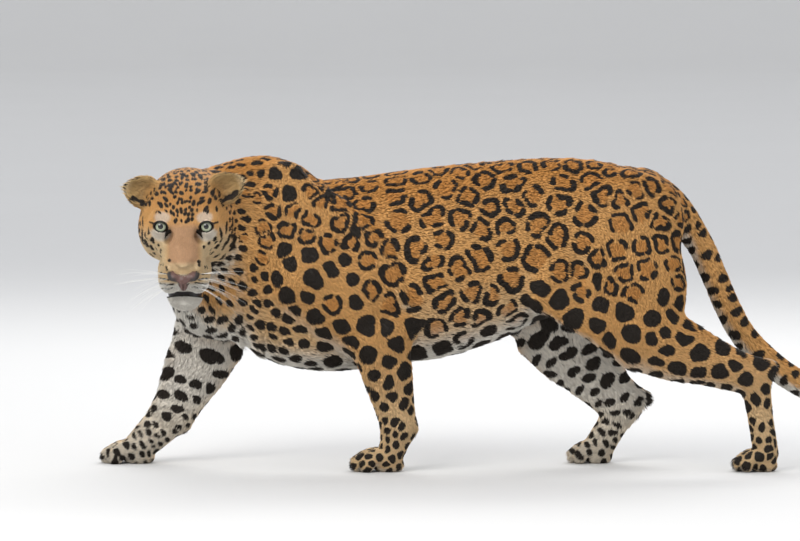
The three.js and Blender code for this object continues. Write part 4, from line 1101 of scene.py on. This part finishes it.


# The coat's colour before its marks, washed on place by place, with painted shade deep in the ears' cups, and
# the black of lips, lids and ear backs, with the painted shade and dark fur of the ears' lower folds, as a
# distance.
def coatColour(p, normal, say, warm):
    at = places(p, normal, say)
    z = p[:, 2]
    h = toHead(p)
    side = np.abs(h[:, 0])
    up = z - inHead(*eyes[0])[2]  # height over the line of the eyes in the front view
    head, inner, tail = at["head"], at["inner"], at["tail"]
    face = head * ramp(10, 50, h[:, 1])
    eyeAway = np.hypot((side - 48) / 1.25, up + 14)
    washes = [
        ("back", ramp(0.15, 0.85, normal[:, 2]) * (at["body"] + 0.6 * at["hind"] + 0.6 * tail)),
        ("low", ramp(0.02, 0.5, -normal[:, 2]) * at["body"]),
        ("low", 0.75 * ramp(330, 120, z) * (at["fore"] + at["hind"])),
        ("warm", 0.75 * warm), ("cream", 0.55 * at["low"]),
        ("white", at["belly"]), ("white", at["chest"]), ("white", at["throat"]),
        ("white", inner * (0.94 - 0.25 * ramp(0.35, 0.85, np.abs(normal[:, 0])))),
        ("cream", 0.3 * inner * ramp(170, 70, z)), ("white", tail * ramp(0.1, 0.6, -normal[:, 2])),
        # the face: brow, cheeks, bridge of the nose, pads, under and over the eye, chin, groove
        ("brow", head * ramp(20, 60, up)), ("cream", face * ramp(10, -40, up) * ramp(20, 45, side)),
        ("bridge", face * ramp(36, 26, side) * ramp(14, -6, up) * ramp(-92, -84, up)),
        ("cream", 0.8 * face * ramp(40, 30, side) * ramp(-70, -80, up)),
        ("white", 0.8 * face * ramp(20, 12, eyeAway) * ramp(4, -8, up)),
        ("white", 0.55 * face * ramp(14, 8, np.hypot((side - 44) / 1.5, up - 19))),
        ("white", head * ramp(-112, -122, up) * ramp(-20, 20, h[:, 1])),
        ("white", 0.85 * face * ramp(16, 6, side) * ramp(-96, -104, up)),
    ]
    colour = np.tile(np.array(palette["flank"]), (len(p), 1))
    for name, share in washes:
        colour = toward(colour, name, share)
    # black: the rims of the lids and the lips, which are bare, the backs of the ears, and painted shade with
    # dark fur along each ear's lower fold
    black, bare = np.full(len(p), 30.0), np.full(len(p), 30.0)
    for k, eye in enumerate(eyes):
        axes = eyeAxes((1, -1)[k])
        v = (p - inHead(*eye)) @ axes.T
        rim = eggDistance(v[:, 0], v[:, 2], 0, lids["half"] + 3.4, lids["high"] + 3.6, 1e6)
        inward, below = np.abs(v[:, 0] + 17) - 3.5, np.abs(v[:, 2] + 12) - 9
        streakIn = np.hypot(np.maximum(inward, 0), np.maximum(below, 0)) - 2.2
        streakOut = np.hypot(np.maximum(np.abs(v[:, 0] - 21) - 7, 0), v[:, 2] - 2 - 0.1 * v[:, 0]) - 2.0
        near = np.minimum(np.minimum(rim, streakIn), streakOut)
        onLid = (v[:, 1] > 0) & (say[:, 2] > 0.3)
        black = np.where(onLid, np.minimum(black, near), black)
        bare = np.where(onLid, np.minimum(bare, rim + 1.2), bare)
    bow = (side / 45) ** 2
    lips = np.hypot(np.maximum(np.abs(up + 145 + 5 * bow) - 1.5 - 3 * bow, 0), np.maximum(side - 37, 0)) - 3.6
    onLip = (h[:, 1] > 96) & (say[:, 2] > 0.3)
    black = np.where(onLip, np.minimum(black, lips), black)
    bare = np.where(onLip, np.minimum(bare, lips + 1.4), bare)
    for name in ("earRight", "earLeft"):
        axes = earAxes(ears[name])
        q = (h - earFoot(ears[name])) @ axes.T
        owned = say[:, parts.index(name)]
        faceOut = (normal @ headAxes.T) @ axes[1]
        inside = owned * ramp(0.1, 0.45, faceOut)
        down = ears[name]["side"] * q[:, 0] / (figure["earWidth"] / 2)
        colour = toward(colour, "ear", inside)
        spoke = np.stack([np.arctan2(q[:, 0], q[:, 2] + 14) * 60, q[:, 2] * 0.12, 0 * q[:, 0]], 1)
        streaks = ramp(-0.15, 0.5, valueNoise(spoke, 7, 9))
        # painted shade deep in each ear's cup, darkest towards its base, broken by streaks of darker fur
        hollow = inside * ramp(62, 20, q[:, 2]) * (0.30 + 0.5 * streaks) * ramp(-0.9, -0.2, down)
        colour = toward(colour, "hollow", hollow)
        # painted shade, with dark fur, as a black band along each ear's lower fold
        bend = down - 0.66 + 0.0022 * (q[:, 2] - 20) + 0.12 * valueNoise(q, 9, 4)
        foldShadeAndDarkFur = np.hypot(np.maximum(np.abs(q[:, 2] - 30) - 20, 0), bend * 32) - 5.5
        foldShadeAndDarkFur = foldShadeAndDarkFur + 2.0 * valueNoise(q, 6, 14)
        black = np.where(inside > 0.3, np.minimum(black, foldShadeAndDarkFur), black)
        colour = toward(colour, "cream", 0.8 * owned * ramp(56, 72, q[:, 2]))
        spot = np.hypot(q[:, 0], (q[:, 2] - 44)) - 15
        back = np.where(faceOut < 0.12, np.maximum(-spot, 12 - q[:, 2]), 30)
        black = np.where(owned > 0.5, np.minimum(black, back), black)
        colour = toward(colour, "cream", owned * ramp(-0.1, -0.3, faceOut) * ramp(2, -3, spot))
    return colour, black, bare


def coatFacts(p, normal, say):  # base colour and distance to black for points of skin or hair roots
    distance, warm = markDistance(p, normal)
    colour, black, bare = coatColour(p, normal, say, warm)
    inEar = say[:, 8] + say[:, 9]
    distance = np.where(inEar > 0.4, 30, distance)
    return colour, np.minimum(distance, black), bare


skinColour, skinMark, skinBare = coatFacts(skinPoints, facts["normal"], facts["say"])
putValues(skin.data, "coatColour", np.c_[skinColour, np.ones(len(skinColour))], "FLOAT_COLOR")
putValues(skin.data, "markDistance", skinMark)
putValues(skin.data, "bareDistance", skinBare)
print("skin marked")


# The finish of skin and hair alike: the base colour with broad and fine changes, then black inside the marks.
# Hair is darker at its root, changes from tuft to tuft, and is lit mostly as the skin below it is.
def coatFinish(name, hair):
    f = Finish(name)
    fine, broad = f.noise(700, 2), f.noise(16, 3)
    if hair:
        shade, along = f.attribute("shade"), f.attribute("along")
        tone = (0.80 + 0.24 * shade + 0.16 * along) * (0.90 + 0.2 * broad)
    else:
        tone = 0.74 + 0.22 * fine + 0.16 * broad
    colour = f.blend(1.0, f.attribute("coatColour", "Color"), tone, "MULTIPLY")
    ragged = f.attribute("markDistance") + (fine - 0.5) * (1.2 if hair else 2.4)
    black = f.step(0.8, -0.8, ragged)
    colour = f.blend(black, colour, f.blend(fine, palette["black"], palette["brown"]))
    if hair:
        own = f.add("NewGeometry", {})["Normal"]
        below = f.attribute("skinNormal", "Vector")
        part = f.add("VectorMath", {"operation": "SCALE"}, Vector=own, Scale=0.55)["Vector"]
        total = f.add("VectorMath", {"operation": "ADD"}, **{"0": part, "1": below})["Vector"]
        normal = f.add("VectorMath", {"operation": "NORMALIZE"}, Vector=total)["Vector"]
        return f.surface(Base_Color=colour, Roughness=0.62, Normal=normal, Sheen_Weight=0.05,
                         Specular_IOR_Level=0.2)
    bare = f.step(0.6, -0.6, f.attribute("bareDistance"))
    colour = f.blend(bare, colour, palette["lip"])
    normal = f.bump(f.noise(420, 3) * (1 - bare) + f.noise(1100, 2) * 0.4, 0.0012, 0.6)
    return f.surface(Base_Color=colour, Roughness=0.72 - 0.38 * bare, Normal=normal)


skinFinish = coatFinish("coat_skin", False)
hairFinish = coatFinish("coat_hair", True)
skin.data.materials.append(skinFinish)

# The coat: thin leaves of hair that lie along the body.
coat = {"tufts": 240000, "leaf": 0.42, "seed": 11}


# How close, long, wide and high the tufts are, in mm, from the part they grow on.
def hairSizes(p, normal, say):
    at = places(p, normal, say)
    h = toHead(p)
    feet = ramp(95, 40, p[:, 2]) * (at["fore"] + at["hind"])
    limb = at["fore"] + at["hind"]
    face = at["head"] * ramp(-10, 50, h[:, 1])
    muzzle = at["head"] * ramp(90, 130, h[:, 1])
    cheek = at["head"] * ramp(-20, -60, h[:, 2]) * ramp(70, 20, h[:, 1])
    inEar = np.zeros(len(p))
    for name in ears:
        faceOut = (normal @ headAxes.T) @ earAxes(ears[name])[1]
        inEar = np.maximum(inEar, say[:, parts.index(name)] * ramp(0.0, 0.4, faceOut))
    soft = np.clip(at["belly"] + 0.7 * at["chest"] + at["throat"] + 0.8 * at["inner"], 0, 1)
    length = 16 + 9 * soft - 3.5 * limb + 1.5 * at["tail"] - 5 * at["head"] - 4.0 * face - 2.2 * muzzle
    length = length + 7 * cheek + 4 * inEar - 6.0 * feet
    length = np.clip(length, 3.4, 30)
    gap = 3.25 - 0.35 * limb - 0.9 * at["head"] - 0.45 * face - 0.15 * muzzle - 0.75 * feet
    width = 2.5 - 0.35 * limb - 0.7 * at["head"] - 0.65 * face - 0.25 * muzzle - 0.8 * feet
    high = depthOf(p) + 0.2 + 1.6 * soft + 2.0 * cheek * (1 - soft) + 1.5 * inEar
    return gap, length, width, high


def onTriangle(values, corners, shares):  # values at the corners weighed by the point's shares of them
    return sum(values[corners[:, k]] * shares[:, k, None] for k in range(3))


# The roots of the tufts: spread evenly through the skin's area over the square of their gap, in the order of
# the triangles, each with its direction, sizes, colour and distances to black.
def plantRoots():
    triangles = np.vstack([skinQuads[:, [0, 1, 2]], skinQuads[:, [0, 2, 3]], skinStrips])
    middle = skinPoints[triangles].mean(1)
    triangles = triangles[np.lexsort((middle[:, 2] // 30, middle[:, 0] // 30))]
    a, b, c = (skinPoints[triangles[:, k]] for k in range(3))
    area = np.linalg.norm(np.cross(b - a, c - a), axis=1) / 2
    gap, _, _, _ = hairSizes(skinPoints, facts["normal"], facts["say"])
    crowd = np.cumsum(area / gap[triangles].mean(1) ** 2)
    draw = np.random.default_rng(coat["seed"])
    n = coat["tufts"]
    which = np.searchsorted(crowd, (np.arange(n) + draw.random(n)) / n * crowd[-1])
    which = which.clip(0, len(triangles) - 1)
    r, t = np.sqrt(draw.random(n)), draw.random(n)
    shares = np.stack([1 - r, r * (1 - t), r * t], 1)
    corners = triangles[which]
    made = {key: onTriangle(facts[key], corners, shares) for key in ("normal", "lie", "say", "share")}
    made["point"] = onTriangle(skinPoints, corners, shares)
    made["normal"] = unit(made["normal"])
    made["lie"] = unit(made["lie"] - made["normal"] * (made["lie"] * made["normal"]).sum(1, keepdims=True))
    _, length, width, high = hairSizes(made["point"], made["normal"], made["say"])
    yaw = draw.normal(0, 0.16, n)[:, None]
    made["way"] = made["lie"] * np.cos(yaw) + np.cross(made["normal"], made["lie"]) * np.sin(yaw)
    made["length"] = (length * draw.uniform(0.7, 1.25, n))[:, None]
    made["width"] = (width * draw.uniform(0.75, 1.2, n))[:, None]
    made["high"] = (high * draw.uniform(0.72, 1.12, n))[:, None]
    # the marks are read below each leaf's body and below its tip, so that their edges stay where they are
    body = made["point"] + made["way"] * made["length"] * coat["leaf"]
    colour, mark, _ = coatFacts(body, made["normal"], made["say"])
    _, tip, _ = coatFacts(made["point"] + made["way"] * made["length"] * 0.85, made["normal"], made["say"])
    _, _, bare = coatFacts(made["point"], made["normal"], made["say"])
    made.update(colour=colour, mark=mark, markTip=tip)
    keep = (bare > 0.4) & (made["point"][:, 2] > 2.5)
    print("roots:", n, "kept", keep.sum(), "natural count", int(crowd[-1]))
    return {key: value[keep] for key, value in made.items()}, draw


roots, draw = plantRoots()


# Where each root lies on an unwrap of the skin: along its part, and round the part's own middle line.
def unwrap(point, say, share):
    part = say.argmax(1)
    along, around = np.zeros(len(point)), np.zeros(len(point))
    names = np.array(parts)[part]
    for name in parts:
        own = names == name
        p = point[own]
        if name == "torso":
            middleZ = np.interp(p[:, 0], [-462, -180, 160, 445], [440, 425, 487, 508])
            a, r = p[:, 0], np.arctan2(p[:, 1], p[:, 2] - middleZ)
        elif name == "neck":
            start, end = np.array([-380, 0, 520.0]), np.array([-542, -120, 545.0])
            way = unit(end - start)
            v = p - start
            a, r = v @ way, np.arctan2(v @ np.cross(upright, way), v[:, 2])
        elif name == "head":
            h = toHead(p) - np.array([0, 30, -20])
            a, r = np.arctan2(h[:, 2], np.hypot(h[:, 0], h[:, 1])), np.arctan2(h[:, 0], h[:, 1])
        elif name == "tail":
            line = catmull(tailPath, 44)
            s = share[own, 7] * 44
            c = np.stack([np.interp(s, np.arange(45), line[:, k]) for k in range(3)], 1)
            v = p - c
            a, r = s, np.arctan2(v[:, 1], v[:, 2] + v[:, 0])
        elif name.startswith("ear"):
            q = (toHead(p) - earFoot(ears[name])) @ earAxes(ears[name]).T
            a, r = q[:, 2], np.arctan2(q[:, 0], q[:, 1])
        else:
            leg = legs[name]
            joints = ("blade", "shoulder", "elbow", "wrist", "knuckles") if "fore" in name else (
                "hip", "knee", "hock", "knuckles")
            line = np.array([leg[k] for k in joints][::-1], float)
            c = np.stack([np.interp(p[:, 2], line[:, 2], line[:, k]) for k in (0, 1)], 1)
            a, r = p[:, 2], np.arctan2(p[:, 1] - c[:, 1], p[:, 0] - c[:, 0])
        along[own], around[own] = a, r
    return part, along, around


part, along, around = unwrap(roots["point"], roots["say"], roots["share"])


# The pieces of the coat: which part each takes in, and which share of it along and round.
def coatPieces():
    index = {name: i for i, name in enumerate(parts)}
    pieces = {}
    torso, head = part == index["torso"], part == index["head"]
    for side, sided in (("left", around < 0), ("right", around >= 0)):
        x = roots["point"][:, 0]
        for name, low, high in (("front", -9e3, -120), ("middle", -120, 150), ("rear", 150, 9e3)):
            pieces[f"coat_torso_{name}_{side}"] = torso & sided & (x >= low) & (x < high)
        pieces[f"coat_head_{side}"] = head & sided
    pieces["coat_neck"] = part == index["neck"]
    pieces["coat_tail"] = part == index["tail"]
    for key, name in (("foreLeft", "foreleg_left"), ("foreRight", "foreleg_right"),
                      ("hindLeft", "hindleg_left"), ("hindRight", "hindleg_right"),
                      ("earLeft", "ear_left"), ("earRight", "ear_right")):
        pieces[f"coat_{name}"] = part == index[key]
    return pieces


# One tuft is five points: its root just under the skin, two edges and a ridge part of the way along, and its
# tip at the coat's height. Its patch on the unwrap is 0.003 across.
def growPiece(name, own):
    p, n, way = roots["point"][own], roots["normal"][own], roots["way"][own]
    length, width, high = roots["length"][own], roots["width"][own], roots["high"][own]
    count = len(p)
    across = np.cross(n, way)
    leaf = coat["leaf"]
    body = p + way * length * leaf + n * high * 0.62
    points = np.stack([p - n * 0.8, body - across * width / 2, body + across * width / 2,
                       body + n * (0.4 + 0.32 * width), p + way * length + n * high], 1)
    points[:, :, 2] = np.maximum(points[:, :, 2], 0.4)
    faces = np.array([(0, 2, 1), (0, 3, 2), (0, 1, 3), (4, 1, 2), (4, 2, 3), (4, 3, 1)])
    allFaces = (faces[None] + 5 * np.arange(count)[:, None, None]).reshape(-1, 3)
    thing = putMesh(name, points.reshape(-1, 3), [allFaces])
    mesh = thing.data
    colour = np.repeat(np.c_[roots["colour"][own], np.ones(count)], 5, axis=0)
    putValues(mesh, "coatColour", colour, "FLOAT_COLOR")
    mark, tip = roots["mark"][own], roots["markTip"][own]
    putValues(mesh, "markDistance", np.stack([mark, mark, mark, mark, tip], 1))
    putValues(mesh, "shade", np.repeat(draw.random(count), 5))
    putValues(mesh, "along", np.tile([0, 0.4, 0.4, 0.55, 1.0], count))
    putValues(mesh, "skinNormal", np.repeat(n, 5, axis=0), "FLOAT_VECTOR")
    a, r = along[own], around[own]
    place = np.stack([(v - v.min()) / max(v.max() - v.min(), 1e-6) for v in (a, r)], 1) * 0.96 + 0.02
    patch = np.array([(0, -1), (-1, 0), (1, 0), (0, 0.2), (0, 1)]) * 0.0015
    uv = (place[:, None] + patch[None]).reshape(-1, 2)
    layer = mesh.uv_layers.new(name="OFBake")
    layer.data.foreach_set("uv", uv[allFaces.ravel()].astype(np.float32).ravel())
    mesh.materials.append(hairFinish)
    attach(thing, "root")
    return thing


for name, own in coatPieces().items():
    growPiece(name, np.nonzero(own)[0])
    print(f"  {name}: {own.sum()} tufts")
print("coat grown")


# The eyes: a ball with a low cornea, its colours by the angle from the gaze.
eyeLook = {"pupil": 5.4, "iris": 12.0, "cornea": 1.6, "inner": (0.42, 0.44, 0.29),
           "outer": (0.30, 0.36, 0.27)}


def eyeSurface(u, v):  # r(v) round the gaze, with r = radius + cornea * smooth step inside the iris
    radius = figure["eyeRadius"]
    r = radius + eyeLook["cornea"] * ramp(0.82, 0.1, v)
    return np.stack([r * np.sin(v) * np.cos(u), r * np.cos(v), r * np.sin(v) * np.sin(u)], -1)


def roundGrid(rows, columns):  # faces of a grid that closes on itself sideways and has one pole at each end
    i, j = np.meshgrid(np.arange(rows - 1), np.arange(columns), indexing="ij")
    i, j = i.ravel() * columns, j.ravel()
    nxt = (j + 1) % columns
    quads = 1 + np.stack([i + j, i + nxt, i + columns + nxt, i + columns + j], 1)
    j = np.arange(columns)
    nxt = (j + 1) % columns
    first = np.stack([np.zeros(columns, int), 1 + nxt, 1 + j], 1)
    last = 1 + (rows - 1) * columns
    final = np.stack([np.full(columns, last + columns), last + j, last + nxt], 1)
    return quads, np.vstack([first, final])


# The eye's colours by the distance from the gaze: pupil, iris with fibres and a shadow at its top, dark edge.
def eyeFinish():
    f = Finish("eye")
    off, up = f.attribute("gazeOffset"), f.attribute("gazeUp")
    fibres = f.noise(1.0, 3, f.attribute("gazeFibre", "Vector"), 0.65)
    iris = f.blend(f.step(eyeLook["pupil"], eyeLook["iris"], off), eyeLook["inner"], eyeLook["outer"])
    iris = f.blend(1.0, iris, 0.55 + 0.75 * fibres, "MULTIPLY")
    iris = f.blend(1.0, iris, 1 - 0.8 * f.step(-1.5, 6.5, up), "MULTIPLY")
    edge = f.step(eyeLook["iris"] - 1.6, eyeLook["iris"], off)
    colour = f.blend(edge, iris, (0.02, 0.015, 0.012))
    pupil = f.step(eyeLook["pupil"] + 0.4, eyeLook["pupil"] - 0.4, off)
    colour = f.blend(pupil, colour, (0.003, 0.003, 0.003))
    return f.surface(Base_Color=colour, Roughness=0.22, Coat_Weight=0.7, Coat_Roughness=0.03,
                     Specular_IOR_Level=0.4)


# One eyeball on a grid of turns u and angles v from the gaze, with its distances for the finish.
def putEye(name, eye, side, material):
    rows, columns = 40, 64
    v = np.linspace(0, math.pi, rows + 2)
    u = np.linspace(0, 2 * math.pi, columns, endpoint=False)
    vv, uu = np.meshgrid(v[1:-1], u, indexing="ij")
    poles = [eyeSurface(0 * v[:1], end) for end in (v[:1], v[-1:])]
    local = np.vstack([poles[0], eyeSurface(uu, vv).reshape(-1, 3), poles[1]])
    right = unit(np.cross(gaze, upright))
    axes = np.array([right, gaze, np.cross(right, gaze)])
    quads, fans = roundGrid(rows, columns)
    points = inHead(*eye) + local @ axes
    thing = putMesh(name, points, [quads[:, ::-1], fans[:, ::-1]])
    angle = np.arctan2(np.hypot(local[:, 0], local[:, 2]), local[:, 1])
    off = angle * figure["eyeRadius"]
    off = np.where(local[:, 1] > 0, off, 30)
    turn = np.arctan2(local[:, 2], local[:, 0])
    putValues(thing.data, "gazeOffset", off)
    putValues(thing.data, "gazeUp", local[:, 2])
    fibre = np.stack([9 * np.cos(turn), 9 * np.sin(turn), off * 0.25], 1)
    putValues(thing.data, "gazeFibre", fibre, "FLOAT_VECTOR")
    thing.data.materials.append(material)
    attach(thing, "root")
    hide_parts("eye_right" if side > 0 else "eye_left")
    return thing


eyeMaterial = eyeFinish()
putEye("eyeball_right", eyes[0], 1, eyeMaterial)
putEye("eyeball_left", eyes[1], -1, eyeMaterial)

# The nose leather: rounded pads and wings, less the commas of the nostrils.

def noseShapes():
    made = []

    def lump(place, radii, blend, cut=False, turn=0.0):
        c, s = math.cos(turn), math.sin(turn)
        axes = np.array([(c, s, 0), (-s, c, 0), (0, 0, 1)]) @ headAxes
        made.append(ball(inHead(*place), radii, "head", axes=axes, blend=blend, cut=cut))

    lump((0, 175, -46), (18, 20, 13), 6)
    for side in (1, -1):
        lump((side * 20, 170, -40), (14, 21, 10.5), 7)
    lump((0, 177, -58), (10, 19, 16), 8)
    for side in (1, -1):
        lump((side * 13, 194, -50), (6.5, 13, 4.2), 2.5, cut=True, turn=-side * 0.3)
        lump((side * 24, 186, -46), (10, 12, 2.6), 2.5, cut=True, turn=side * 0.5)
    lump((0, 199, -62), (1.4, 9, 18), 2.5, cut=True)
    return made


def noseFinish():  # fine pebbles with dark lines between them, black towards the rim, and painted shade in the nostrils
    f = Finish("nose_leather")
    pebbles = f.add("TexVoronoi", {"feature": "DISTANCE_TO_EDGE"}, Vector=f.place(), Scale=620)["Distance"]
    broad = f.noise(60, 3)
    colour = f.blend(broad, (0.105, 0.045, 0.036), (0.20, 0.095, 0.075))
    colour = f.blend(f.step(0.10, 0.0, pebbles), colour, (0.045, 0.022, 0.018))
    colour = f.blend(f.attribute("darkRimAndNostrilShade"), colour, (0.015, 0.011, 0.010))
    normal = f.bump(f.step(0.0, 0.25, pebbles), 0.0006, 0.7)
    return f.surface(Base_Color=colour, Roughness=0.34 + 0.2 * broad, Normal=normal, Coat_Weight=0.25,
                     Coat_Roughness=0.2)


def putNose():  # the nose's own small field as one closed surface, with the darkness of its rim and the painted shade of its nostrils
    shapes = noseShapes()

    def leather(p):
        return field(p, shapes)

    low, high = inHead(0, 172, -52) - 46, inHead(0, 172, -52) + 46
    v, q = netSurface(low, high, 1.2, leather)
    v, q = mainPiece(v, q)
    v = settle(v, 2, 1.5, leather)
    nose = putMesh("nose_pad", v, [q])
    h = toHead(v)
    side = np.abs(h[:, 0])
    rim = ramp(11, 18, side + 0.35 * np.maximum(-48 - h[:, 2], 0)) * ramp(-36, -42, h[:, 2] - 0.25 * side)
    # painted shade inside the nostrils; the rim and the outer wings are the leather's own dark colour
    nostril = ramp(9, 4, np.hypot((side - 15) * 0.6, (h[:, 2] + 50)) * 1.3)
    putValues(nose.data, "darkRimAndNostrilShade", np.clip(0.9 * rim + nostril + ramp(24, 30, side), 0, 1))
    nose.data.materials.append(noseFinish())
    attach(nose, "root")
    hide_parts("nose")
    print("nose:", len(v), "vertices")


putNose()

# Whiskers: thin tapered rods on a drooping curve.
whiskers = {"perRow": 5, "thick": 0.62, "segments": 9, "sides": 5}


# Each is root + way * length * t + droop * t^2, with a radius that shrinks as (1 - 0.9 t)^0.8.
def putWhiskers():
    starts, ways, lengths, droops = [], [], [], []
    chance = np.random.default_rng(5)
    for side in (-1, 1):
        for row, ((x0, z0), (x1, z1), _) in enumerate(padRows):
            for t in np.linspace(0.25, 0.95, whiskers["perRow"]):
                starts.append((side * (x0 + (x1 - x0) * t), z0 + (z1 - z0) * t))
                out = np.array([side * 1.0, -0.55 + 0.35 * t, 0.12 - 0.16 * row + chance.normal(0, 0.05)])
                ways.append(unit(out))
                lengths.append(chance.uniform(58, 92) * (1.15 - 0.1 * abs(row - 1)))
                droops.append(np.array([side * 2, 14, -9 - 5 * row]) * chance.uniform(0.6, 1.4))
    table = np.array(starts)
    points, _ = onFace(table[:, 0], table[:, 1])
    ways, lengths, droops = np.array(ways), np.array(lengths), np.array(droops)
    t = np.linspace(0, 1, whiskers["segments"] + 1)
    line = points[:, None] + ways[:, None] * (lengths[:, None] * t)[..., None]
    line = line + droops[:, None] * (t ** 2)[:, None]
    tangent = unit(np.gradient(line, axis=1))
    one = unit(np.cross(tangent, upright))
    two = np.cross(tangent, one)
    turn = np.arange(whiskers["sides"]) * 2 * math.pi / whiskers["sides"]
    radius = (whiskers["thick"] / 2 * (1 - 0.9 * t) ** 0.8)[None, :, None, None]
    spokes = one[:, :, None] * np.cos(turn)[:, None] + two[:, :, None] * np.sin(turn)[:, None]
    ring = line[:, :, None] + radius * spokes
    count, rings, sides = ring.shape[:3]
    base = np.arange(count)[:, None, None] * rings * sides
    i, j = np.arange(rings - 1)[None, :, None], np.arange(sides)[None, None, :]
    k = (j + 1) % sides
    quads = np.stack([base + i * sides + j, base + i * sides + k, base + (i + 1) * sides + k,
                      base + (i + 1) * sides + j], -1).reshape(-1, 4)
    caps = np.concatenate([base[:, 0] + np.arange(sides)[None], base[:, 0] + (rings - 1) * sides
                           + np.arange(sides)[None, ::-1]])
    thing = putMesh("whiskers", ring.reshape(-1, 3), [quads[:, ::-1], caps])
    f = Finish("whisker")
    thing.data.materials.append(f.surface(
        Base_Color=f.blend(f.noise(90, 2), (0.80, 0.78, 0.72), (0.93, 0.92, 0.88)), Roughness=0.35))
    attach(thing, "root")
    print("whiskers:", count)


putWhiskers()


# The camera and the studio.
camera = {"aim": (-86, 0, 424.6), "elevation": 4, "distance": 12000, "lens": 251, "sensor": 36}


def aimAlong(thing, way):  # turned so that its own -Z looks along the way
    thing.rotation_mode = "QUATERNION"
    thing.rotation_quaternion = way.to_track_quat("-Z", "Y")


def putCamera():  # level with the photo's own view, at the given elevation and distance from its aim
    data = bpy.data.cameras.new("camera")
    data.lens, data.sensor_width = camera["lens"], camera["sensor"]
    data.clip_end = 100
    thing = linked("camera", data)
    e = math.radians(camera["elevation"])
    back = Vector((0, -math.cos(e), math.sin(e)))
    thing.location = Vector(toFrame(camera["aim"])) + back * camera["distance"] / 1000
    aimAlong(thing, -back)
    bpy.context.scene.camera = thing


studio = {"floor": (0.66, 0.655, 0.64), "world": 1.15, "sky": (0.93, 0.95, 1), "level": 26.0, "radius": 8.0,
          "high": 20.0}
lamps = {  # place, aim, size, watts, colour
    "key": ((-2.6, -3.6, 3.6), (-0.1, 0, 0.35), (3.2, 2.4), 160, (1, 0.98, 0.95)),
    "fill": ((3.4, -3.2, 1.8), (0, 0, 0.35), (3.0, 2.4), 34, (0.95, 0.97, 1)),
    "rim": ((0.6, 3.4, 3.4), (0, 0, 0.4), (4.0, 1.5), 100, (1, 1, 1)),
}


def putLight(name, place, aim, size, watts, colour):  # a soft rectangle of light that looks at its aim
    data = bpy.data.lights.new(name, "AREA")
    data.shape, data.size, data.size_y = "RECTANGLE", size[0], size[1]
    data.energy, data.color = watts, colour
    thing = linked(name, data)
    thing.location = place
    aimAlong(thing, Vector(aim) - Vector(place))


# A wide dish: the floor runs out level and turns up into the wall on a quarter circle, carried round Z.
def studioSweep():
    turn = np.linspace(0, math.pi / 2, 13)
    level, radius, high = studio["level"], studio["radius"], studio["high"]
    r = np.concatenate([[2.0], level + radius * np.sin(turn), [level + radius]])
    z = np.concatenate([[0.0], radius * (1 - np.cos(turn)), [high]])
    count, rings = 96, len(r)
    angle = np.arange(count) * 2 * math.pi / count
    ring = np.stack([r[:, None] * np.cos(angle), r[:, None] * np.sin(angle),
                     np.repeat(z[:, None], count, 1)], -1)
    points = np.vstack([[(0.0, 0, 0)], ring.reshape(-1, 3)])
    i, j = np.meshgrid(np.arange(rings - 1), np.arange(count), indexing="ij")
    i, j = i.ravel() * count + 1, j.ravel()
    k = (j + 1) % count
    quads = np.stack([i + j, i + count + j, i + count + k, i + k], 1)
    fan = np.stack([np.zeros(count, int), 1 + np.arange(count), 1 + (np.arange(count) + 1) % count], 1)
    sweep = putMesh("studio_floor", (points - shift) * 1000, [quads, fan])
    return sweep


def putWorld():  # an even pale sky, and plain view colours
    world = bpy.data.worlds.new("studio")
    bpy.context.scene.world = world
    world.use_nodes = True
    background = world.node_tree.nodes["Background"]
    background.inputs["Color"].default_value = (*studio["sky"], 1)
    background.inputs["Strength"].default_value = studio["world"]
    bpy.context.scene.view_settings.view_transform = "Standard"


def floorFinish():  # matt and pale, with a slight change of tone
    f = Finish("floor")
    soft = f.noise(0.8, 3)
    fine = f.noise(140, 2)
    colour = f.blend(soft, tuple(0.97 * c for c in studio["floor"]), studio["floor"])
    return f.surface(Base_Color=colour, Roughness=0.78 + 0.1 * fine, Normal=f.bump(fine, 0.0004, 0.3))


putCamera()
for name, lamp in lamps.items():
    putLight(name, *lamp)
putWorld()
studioSweep().data.materials.append(floorFinish())

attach(skin, "root")
fleshNodes = [n for n in frame["nodes"] if not n.startswith("eye") and n != "nose"]
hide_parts(*fleshNodes)
